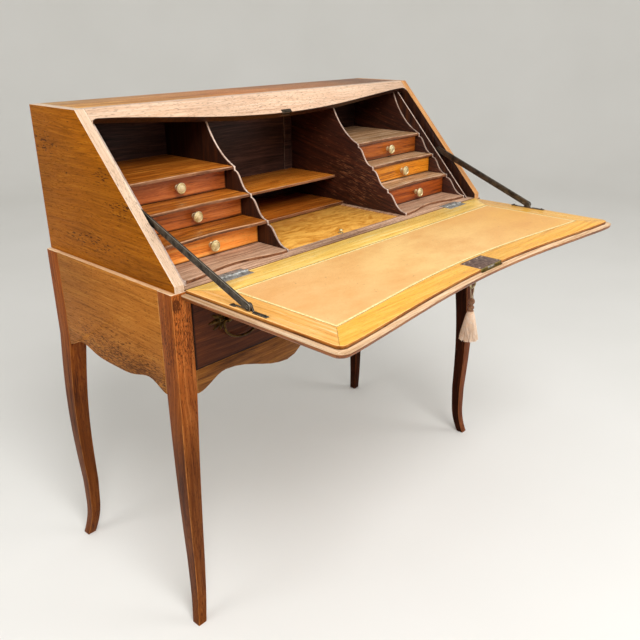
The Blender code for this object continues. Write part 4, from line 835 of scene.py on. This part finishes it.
# Fall: a thick writing board with mitred crossbanding round the leather, on a wider back layer whose
# thumb-moulded lip laps over the case when it is shut.
fall_half, leather_x, leather_front, leather_back = 0.4745, 0.424, 0.050, 0.0625
fall_y, fall_step, fall_mid, corner_front = -0.2125, 0.716, -0.37, -0.5616


def banding(tree, place):
    """Where a spot lies in the banding: its place, how far along each border, and whether it is an end."""
    spot = put(tree, "VectorMath", {0: place, 1: home}, operation="SUBTRACT")[0]
    x, y, z = put(tree, "SeparateXYZ", {0: spot})
    end = put(tree, "Math", {0: x}, operation="ABSOLUTE")[0]
    end = put(tree, "MapRange", {0: end, 1: leather_x, 2: fall_half})[0]
    fore = put(tree, "MapRange", {0: y, 1: corner_front + leather_front, 2: corner_front})[0]
    rear = put(tree, "MapRange", {0: y, 1: fall_y - leather_back, 2: fall_y})[0]
    long = put(tree, "Math", {0: fore, 1: rear}, operation="MAXIMUM")[0]
    is_end = put(tree, "Math", {0: end, 1: long}, operation="GREATER_THAN")[0]
    return spot, (x, y, z), end, fore, rear, long, is_end


def mitred(tree, place):
    """Grain that turns the corner at the mitres: along the front and back, and along each end."""
    spot, (x, y, z), end, fore, rear, long, is_end = banding(tree, place)
    crossed = put(tree, "CombineXYZ", {0: y, 1: x, 2: z})[0]
    return put(tree, "Mix", {0: is_end, 4: spot, 5: crossed}, data_type="VECTOR")[1]


def banding_tones_and_sheen(tree, place, colour):
    """The banding's tones: paler yellow at the back, partly a painted sheen, orange in front, with a dark joint
    at each mitre.
    """
    spot, (x, y, z), end, fore, rear, long, is_end = banding(tree, place)
    is_rear = put(tree, "Math", {0: rear, 1: fore}, operation="GREATER_THAN")[0]
    is_right = put(tree, "Math", {0: x, 1: 0.0}, operation="GREATER_THAN")[0]
    ends = put(tree, "Mix", {0: is_right, 4: (1.03, 0.97, 1.5), 5: (0.95, 0.88, 0.62)}, data_type="VECTOR")[1]
    longs = put(tree, "Mix", {0: is_rear, 4: (0.98, 0.88, 0.52), 5: (1.16, 1.38, 2.0)}, data_type="VECTOR")[1]
    share = put(tree, "Mix", {0: is_end, 4: longs, 5: ends}, data_type="VECTOR")[1]
    colour = put(tree, "VectorMath", {0: colour, 1: share}, operation="MULTIPLY")[0]
    joint = put(tree, "Math", {0: end, 1: long}, operation="SUBTRACT")[0]
    joint = put(tree, "Math", {0: joint}, operation="ABSOLUTE")[0]
    joint = put(tree, "MapRange", {0: joint, 1: 0.022, 2: 0.008, 4: 0.7})[0]
    inside = put(tree, "Math", {0: end, 1: 0.03}, operation="GREATER_THAN")[0]
    joint = put(tree, "Math", {0: joint, 1: inside}, operation="MULTIPLY")[0]
    return put(tree, "Mix", {0: joint, 6: colour, 7: linear("#7A4A1C")}, data_type="RGBA")[2]


# Crossbanding: glossy yellow-orange satinwood.
band_wood = timber("satinwood_banding_glossy", "#D2922E", "#F2B84E", "#FBD078", (1, 0, 0), 17.0, streak=6.0,
                   pores=0.4, blotch=0.1, worn="#F9DFA8", rough=0.3, gloss=0.35, coat=0.15, lay=mitred,
                   tint=banding_tones_and_sheen)
# Fall edge: the brown side of the writing board, with painted shade along its foot, in the corner above the
# lip.
rim_wood = timber("walnut_fall_side", "#6A360C", "#B06A26", "#C88A40", (1, 0, 0), 17.8, worn="#E6B878",
                  gloss=0.1, lay=mitred)
# Lip: rubbed bare to a pinkish tan.
# Lip: pinkish tan on its top and front edge.
lip_wood = timber("walnut_lip_pinkish", "#AE8258", "#D2AE88", "#E2C8A8", (1, 0, 0), 18.1, streak=5.0, pores=0.3,
                  blotch=0.2, worn="#EFD9C4", gloss=0.3, lay=mitred)
# Underside: the fall's outer face when shut, brown polished walnut.
under_wood = timber("walnut_fall_outside", "#5A2D0A", "#925220", "#AE7034", (1, 0, 0), 18.9, streak=9.0,
                    wave=9.0, worn="#B98A50", gloss=0.25, coat=0.1, lay=mitred)
shape = copied("fall_board")
middle = Vector((0.0, fall_mid)) + home.xy


def outward(edge):
    """Whether an edge is an outer arris of the writing board's top."""
    if any(vert.co.z < write_z - 1e-4 for vert in edge.verts):
        return False
    return any(face.normal.z < 0.5 and face.normal.xy.dot(face.calc_center_median().xy - middle) > 0.05
               for face in edge.link_faces)


ease(shape, 0.0008, outward)


def fall_pick(face):
    """Which of the fall's woods a face shows."""
    z = face.calc_center_median().z
    if face.normal.z > 0.7:
        return 0 if z > fall_step + 0.003 else 2
    # Faces turned down, down to the first facets of the lip's rounding, take the darker outside wood: painted
    # shade under the lip.
    if face.normal.z < -0.04 or face.normal.y > 0.7:
        return 3
    return 1 if z > fall_step else 2


# Painted shade along the foot of the side faces, where they meet the lip.
painted_shade = shape.loops.layers.float.new("painted_shade")
for face in shape.faces:
    if fall_pick(face) == 1:
        for loop in face.loops:
            loop[painted_shade] = 0.9 if loop.vert.co.z < fall_step + 0.001 else 0.0
settle(shape, "walnut_fall", "fall", [band_wood, rim_wood, lip_wood, under_wood], ["fall_board"],
       pick=fall_pick)


# Leather: a tan skin laid into the board and pasted flat. A blind line and a gold line are tooled round
# its edge with a hot wheel.
# Calf: tan, yellower in the middle under a painted highlight, with fine grain and rubbed patches.
calf, tree, shader = blank("calf_leather_tan")
place = put(tree, "TexCoord", {})["Object"]
x, y, z = put(tree, "SeparateXYZ", {0: place})
left = put(tree, "MapRange", {0: x, 1: -0.05, 2: -0.40}, interpolation_type="SMOOTHSTEP")[0]
right = put(tree, "MapRange", {0: x, 1: 0.02, 2: 0.40}, interpolation_type="SMOOTHSTEP")[0]
tone = put(tree, "Mix", {0: left, 6: linear("#F6CB82"), 7: linear("#F3BF7E")}, data_type="RGBA")[2]
tone = put(tree, "Mix", {0: right, 6: tone, 7: linear("#EEB45A")}, data_type="RGBA")[2]
cloud = put(tree, "VectorMath", {0: place, 1: (0.6, 1.0, 1.0)}, operation="MULTIPLY")[0]
cloud = put(tree, "TexNoise", {"Vector": cloud, "Scale": 14.0, "Detail": 6.0, "Roughness": 0.68})[0]
stain = put(tree, "MapRange", {0: cloud, 1: 0.38, 2: 0.68, 4: 0.75})[0]
tone = put(tree, "Mix", {0: stain, 6: tone, 7: linear("#E2A25A")}, data_type="RGBA")[2]
pebble = put(tree, "TexVoronoi", {"Vector": place, "Scale": 900.0})[0]
crease = put(tree, "MapRange", {0: pebble, 1: 0.35, 2: 0.75, 4: 0.22})[0]
tone = put(tree, "Mix", {0: crease, 6: tone, 7: linear("#9A6430")}, data_type="RGBA")[2]
spotty = put(tree, "TexNoise", {"Vector": place, "Scale": 160.0, "Detail": 2.0})[0]
spotty = put(tree, "MapRange", {0: spotty, 1: 0.70, 2: 0.76, 4: 0.5})[0]
tone = put(tree, "Mix", {0: spotty, 6: tone, 7: linear("#8A5528")}, data_type="RGBA")[2]
tree.links.new(tone, shader.inputs["Base Color"])
tree.links.new(put(tree, "MapRange", {0: cloud, 3: 0.34, 4: 0.5})[0], shader.inputs["Roughness"])
relief = put(tree, "Bump", {"Height": pebble, "Strength": 0.15, "Distance": 0.0003}, invert=True)[0]
tree.links.new(relief, shader.inputs["Normal"])
# Blind line: the skin pressed dark and greenish by the tool.
blind = metal("leather_blind_line", "#A08450", "#5E4A22", 0.5, 260.0, 4.0, metallic=0.0)
# Gold leaf: tooled line, worn through in places.
gilt = metal("gold_leaf_worn", "#FFF0B4", "#E6C070", 0.4, 220.0, 5.0, rubbed_and_highlight="#FFF1C0", metallic=0.0)
shape = ease(copied("fall_leather"), 0.0003)
face = max(shape.faces, key=lambda face: face.normal.z * face.calc_area())
for thickness, index in ((0.0012, 1), (0.0046, 2)):
    ring = bmesh.ops.inset_region(shape, faces=[face], thickness=thickness, use_even_offset=True)["faces"]
    for piece in ring:
        piece.material_index = index
low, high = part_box("fall_leather")
skin_area = sum(face.calc_area() for face in shape.faces if face.normal.z > 0.9)
skin = settle(shape, "calf_writing_skin", "fall", [calf, blind, gilt], ["fall_leather"])


# Hinges: two steel butts, one leaf screwed into the sill and one into the fall, knuckles on one pin.
# Steel: grey, oiled and a little rusty.
hinge_steel = metal("steel_hinge_grey", "#C9C9C6", "#77736C", 0.46, 110.0, 6.0, rubbed_and_highlight="#F0F0EC", metallic=0.7)


def screw(at, radius, axis, turn):
    """A slotted screw head standing a hair proud, its slot a dark bar of painted shade in place of the hollow.
    """
    head = turned([(0.0, -0.0010), (radius, -0.0010), (radius, 0.0002), (radius * 0.85, 0.0005), (0.0, 0.0006)],
                  (0, 0, 0), (0, 0, 1), 20)
    head.verts.layers.float.new("painted_shade")
    slot = plank((-radius * 0.8, -radius * 0.14, 0.0002), (radius * 0.8, radius * 0.14, 0.0007), 0.00005)
    slot_painted_shade = slot.verts.layers.float.new("painted_shade")
    for vert in slot.verts:
        vert[slot_painted_shade] = 1.0
    whole = gather([head, slot])
    whole.transform(Matrix.Translation(at) @ facing(axis) @ Matrix.Rotation(turn, 4, "Z"))
    return whole


for side_name in ("left", "right"):
    for part_name, body in (("case", "desk"), ("fall", "fall")):
        node = "hinge_leaf_" + part_name + "_" + side_name
        low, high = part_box(node)
        middle_y = high.y - 0.010 if part_name == "case" else low.y + 0.010
        heads = [screw((low.x + (high.x - low.x) * share, middle_y + drift, write_z - seat), 0.0030,
                       (0, 0, 1), share * 5)
                 for share, drift in ((0.16, 0.003), (0.5, -0.003), (0.84, 0.003))]
        settle(gather([ease(copied(node), 0.0002)] + heads), "steel_" + node, body, [hinge_steel],
               [node])


# Stays: flat iron bars, forged and filed, each hung on a riveted bracket on the fall and running into
# the slot beside its nest, where a peg catches behind a block.
# Black iron: dark brown-black scale with pale grey edges, both rubbed and a painted highlight.
stay_iron = metal("iron_forged_dark", "#5A5146", "#2C2620", 0.42, 70.0, 7.0, rubbed_and_highlight="#C4BAAA", metallic=0.8)
bracket_top, rivet_in, rivet_radius = 0.7255, 0.006, 0.0024
for side_name, side in (("left", -1), ("right", 1)):
    node = "stay_" + side_name
    settle(ease(copied(node), 0.0007), "iron_" + node, node, [stay_iron], [node])
    node = "stay_bracket_" + side_name
    low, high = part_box(node)
    bracket_x = (low.x + high.x) / 2
    heads = [screw((bracket_x, low.y + rivet_in, bracket_top), rivet_radius, (0, 0, 1), 0.7),
             screw((bracket_x, high.y - rivet_in, bracket_top), rivet_radius, (0, 0, 1), 2.1)]
    settle(gather([ease(copied(node), 0.0003)] + heads), "iron_" + node, "fall", [stay_iron], [node])


# Lock: a flush half-mortise lock let into the fall's front edge, its plate riveted, with a steel bolt
# and a brass key whose bow hangs below the fall.
# Bronze: the plate's dark brown skin; its front edge is greenish brass.
lock_bronze = metal("bronze_lock_plate", "#8E7062", "#54403A", 0.42, 130.0, 8.0, rubbed_and_highlight="#D8C4AE", metallic=0.6)
edge_brass = metal("brass_lock_edge_green", "#A99A58", "#6C6A38", 0.4, 130.0, 9.0, rubbed_and_highlight="#D8C98A")
low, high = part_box("lock_case")
rivets = []
for share_x, share_y in ((0.08, 0.14), (0.92, 0.14), (0.08, 0.86), (0.92, 0.86), (0.32, 0.86), (0.68, 0.86)):
    spot = (low.x + (high.x - low.x) * share_x, low.y + (high.y - low.y) * share_y, high.z)
    rivet = turned([(0.0, -0.0008), (0.0020, -0.0008), (0.0020, 0.0001), (0.0014, 0.0006), (0.0, 0.0008)], spot,
                   (0, 0, 1), 18)
    worn = rivet.verts.layers.float.new("worn")
    for vert in rivet.verts:
        vert[worn] = 1.0
    rivets.append(rivet)
settle(gather([ease(copied("lock_case"), 0.0003)] + rivets), "bronze_lock", "fall",
       [lock_bronze, edge_brass], ["lock_case"], pick=lambda face: int(face.normal.y < -0.7))
settle(ease(copied("lock_bolt"), 0.0002), "steel_lock_bolt", "lock_bolt", [hinge_steel], ["lock_bolt"])
# Key brass: paler than the plates, kept bright by use.
key_brass = metal("brass_key_worn", "#D2C49C", "#8A7648", 0.36, 110.0, 10.0)
settle(copied("key"), "brass_key", "key", [key_brass], ["key"], sharp=50.0)


# Tassel: a silk cord looped through the key's bow, a turned and wound bead, and a skirt of some three
# hundred spun silk strands that flares at the hem.
key_y, head_z, skirt_r, cord_thick = -0.49538, 0.6452, 0.0192, 0.0017
cord_route = [(-0.49698, 0.6455), (-0.49698, 0.6495), (-0.49798, 0.6555), (-0.49878, 0.6615),
              (-0.49878, 0.6675), (-0.49852, 0.6688), (-0.49778, 0.6699), (-0.49668, 0.67064),
              (-0.49538, 0.6709)]
cord_route += [(2 * key_y - y, z) for y, z in reversed(cord_route[:-1])]


def silk(name, deep, body, pale, pitch, lean, seed, sheen=0.35):
    """Spun silk: fine threads that lean across the strand, with a soft sheen and faded patches.

    Pitch is the width of one thread in mm, and lean how far it turns for each metre of length.
    """
    made, tree, shader = blank(name)
    place = put(tree, "TexCoord", {})["Object"]
    x, y, z = put(tree, "SeparateXYZ", {0: place})
    slant = put(tree, "Math", {0: z, 1: lean, 2: x}, operation="MULTIPLY_ADD")[0]
    slant = put(tree, "Math", {0: slant, 1: y}, operation="ADD")[0]
    thread = put(tree, "Math", {0: slant, 1: 2000.0 * math.pi / pitch}, operation="MULTIPLY")[0]
    thread = put(tree, "Math", {0: thread}, operation="SINE")[0]
    ply = put(tree, "MapRange", {0: thread, 1: -1.0, 2: 1.0})[0]
    fade = put(tree, "VectorMath", {0: place, 1: (seed, seed, seed)}, operation="ADD")[0]
    fade = put(tree, "TexNoise", {"Vector": fade, "Scale": 150.0, "Detail": 3.0})[0]
    fade = put(tree, "MapRange", {0: fade, 1: 0.36, 2: 0.64})[0]
    tone = put(tree, "Mix", {0: fade, 6: linear(body), 7: linear(pale)}, data_type="RGBA")[2]
    tone = put(tree, "Mix", {0: ply, 6: linear(deep), 7: tone}, data_type="RGBA")[2]
    # Painted shade: the shade attribute darkens some strands to the deep tone, for the dark gaps between strand
    # bundles.
    shade = put(tree, "Attribute", {}, attribute_name="shade")["Fac"]
    tone = put(tree, "Mix", {0: shade, 6: tone, 7: linear(deep)}, data_type="RGBA")[2]
    tree.links.new(tone, shader.inputs["Base Color"])
    shader.inputs["Roughness"].default_value = 0.55
    shader.inputs["Sheen Weight"].default_value = sheen
    shader.inputs["Sheen Roughness"].default_value = 0.4
    relief = put(tree, "Bump", {"Height": ply, "Strength": 0.4, "Distance": 0.0004})[0]
    tree.links.new(relief, shader.inputs["Normal"])
    return made


# Cord silk: pale twisted cord. Strand silk: pink-beige, lifted near white as painted light for the skirt
# hanging in the fall's shadow. Bead silk: brown-beige wound thread.
cord_silk = silk("silk_cord_twisted", "#8F7A5C", "#D8C4A0", "#EADBBE", 1.5, 0.9, 0.3)
strand_silk = silk("silk_strand_spun", "#B98858", "#FFE6CC", "#FFF6EA", 0.9, 0.4, 0.9)
bead_silk = silk("silk_bead_wound", "#4A2814", "#8E5A34", "#AC7A4E", 1.4, 4.0, 1.7, sheen=0.1)

line = bpy.data.curves.new("silk_tassel_cord", "CURVE")
line.dimensions = "3D"
line.bevel_depth = cord_thick / 2
line.bevel_resolution = 3
line.use_fill_caps = True
spline = line.splines.new("POLY")
spline.points.add(len(cord_route) - 1)
for point, (y, z) in zip(spline.points, cord_route):
    point.co = (0.0, y + home.y, z, 1.0)
line.materials.append(cord_silk)
cord = show("silk_tassel_cord", line)
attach(cord, "tassel")
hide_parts("tassel_cord")

bead_profile = [(0.0, 0.0), (0.0020, 0.0), (0.0038, 0.0006), (0.0055, 0.0018), (0.0066, 0.0038),
                (0.0070, 0.0062), (0.0067, 0.0088), (0.0058, 0.0108), (0.0044, 0.0126), (0.0036, 0.0138),
                (0.0036, 0.0148), (0.0048, 0.0156), (0.0060, 0.0168), (0.0065, 0.0188), (0.0064, 0.0206),
                (0.0056, 0.0222), (0.0046, 0.0235), (0.0054, 0.0250), (0.0064, 0.0265), (0.0, 0.0265)]
bead_ribs, rib_depth, bead_neck = 10, 0.2, 0.0130
bead_at = Vector((0.0, key_y, head_z)) + home
shape = turned(bead_profile, bead_at, (0, 0, -1), 60)
for vert in shape.verts:
    offset = vert.co - bead_at
    if offset.z > -bead_neck:
        rib = 1 - rib_depth * (0.5 - 0.5 * math.cos(bead_ribs * math.atan2(offset.y, offset.x)))
        vert.co = bead_at + Vector((offset.x * rib, offset.y * rib, offset.z))
bead = settle(shape, "silk_tassel_bead", "tassel", [bead_silk],
              ["tassel"])

hang = random.Random(11)
strand_count, strand_steps, strand_r = 320, 8, 0.00052
skirt_top, skirt_end, neck_r, tie_r = 0.0260, 0.0875, 0.0055, 0.0050
golden_turn, golden_share = 2.399963, 0.618034
strands = bmesh.new()
shade = strands.verts.layers.float.new("shade")
for k in range(strand_count):
    around = golden_turn * k
    inner = math.sqrt((k + 0.5) / strand_count)
    length = skirt_end - skirt_top + hang.uniform(-0.0022, 0.0)
    curl = hang.uniform(-0.25, 0.25)
    rows = []
    for i in range(strand_steps + 1):
        t = i / strand_steps
        flare = neck_r + (skirt_r - neck_r) * t ** 0.85
        r = flare * (0.35 + 0.65 * inner) if t > 0.02 else tie_r * inner
        turn = around + curl * t * t
        rows.append(Vector((r * math.cos(turn), r * math.sin(turn), -skirt_top - length * t)))
    ring = [strands.verts.new(rows[0] + Vector((strand_r * math.cos(a), strand_r * math.sin(a), 0.0)))
            for a in (0.5, 2.07, 3.64, 5.21)]
    # Some strands get painted shade, standing for the dark gaps between bundles.
    for vert in ring:
        vert[shade] = 0.8 * ((k * golden_share) % 1.0) ** 3
    face = strands.faces.new(ring)
    for i in range(strand_steps):
        moved = bmesh.ops.extrude_face_region(strands, geom=[face])
        if i > 0:
            bmesh.ops.delete(strands, geom=[face], context="FACES_ONLY")
        face = next(item for item in moved["geom"] if isinstance(item, bmesh.types.BMFace))
        bmesh.ops.translate(strands, vec=rows[i + 1] - rows[i], verts=face.verts)
bmesh.ops.recalc_face_normals(strands, faces=strands.faces)
settle(strands, "silk_tassel_skirt", "tassel", [strand_silk], ["tassel"], bead_at, sharp=80.0)
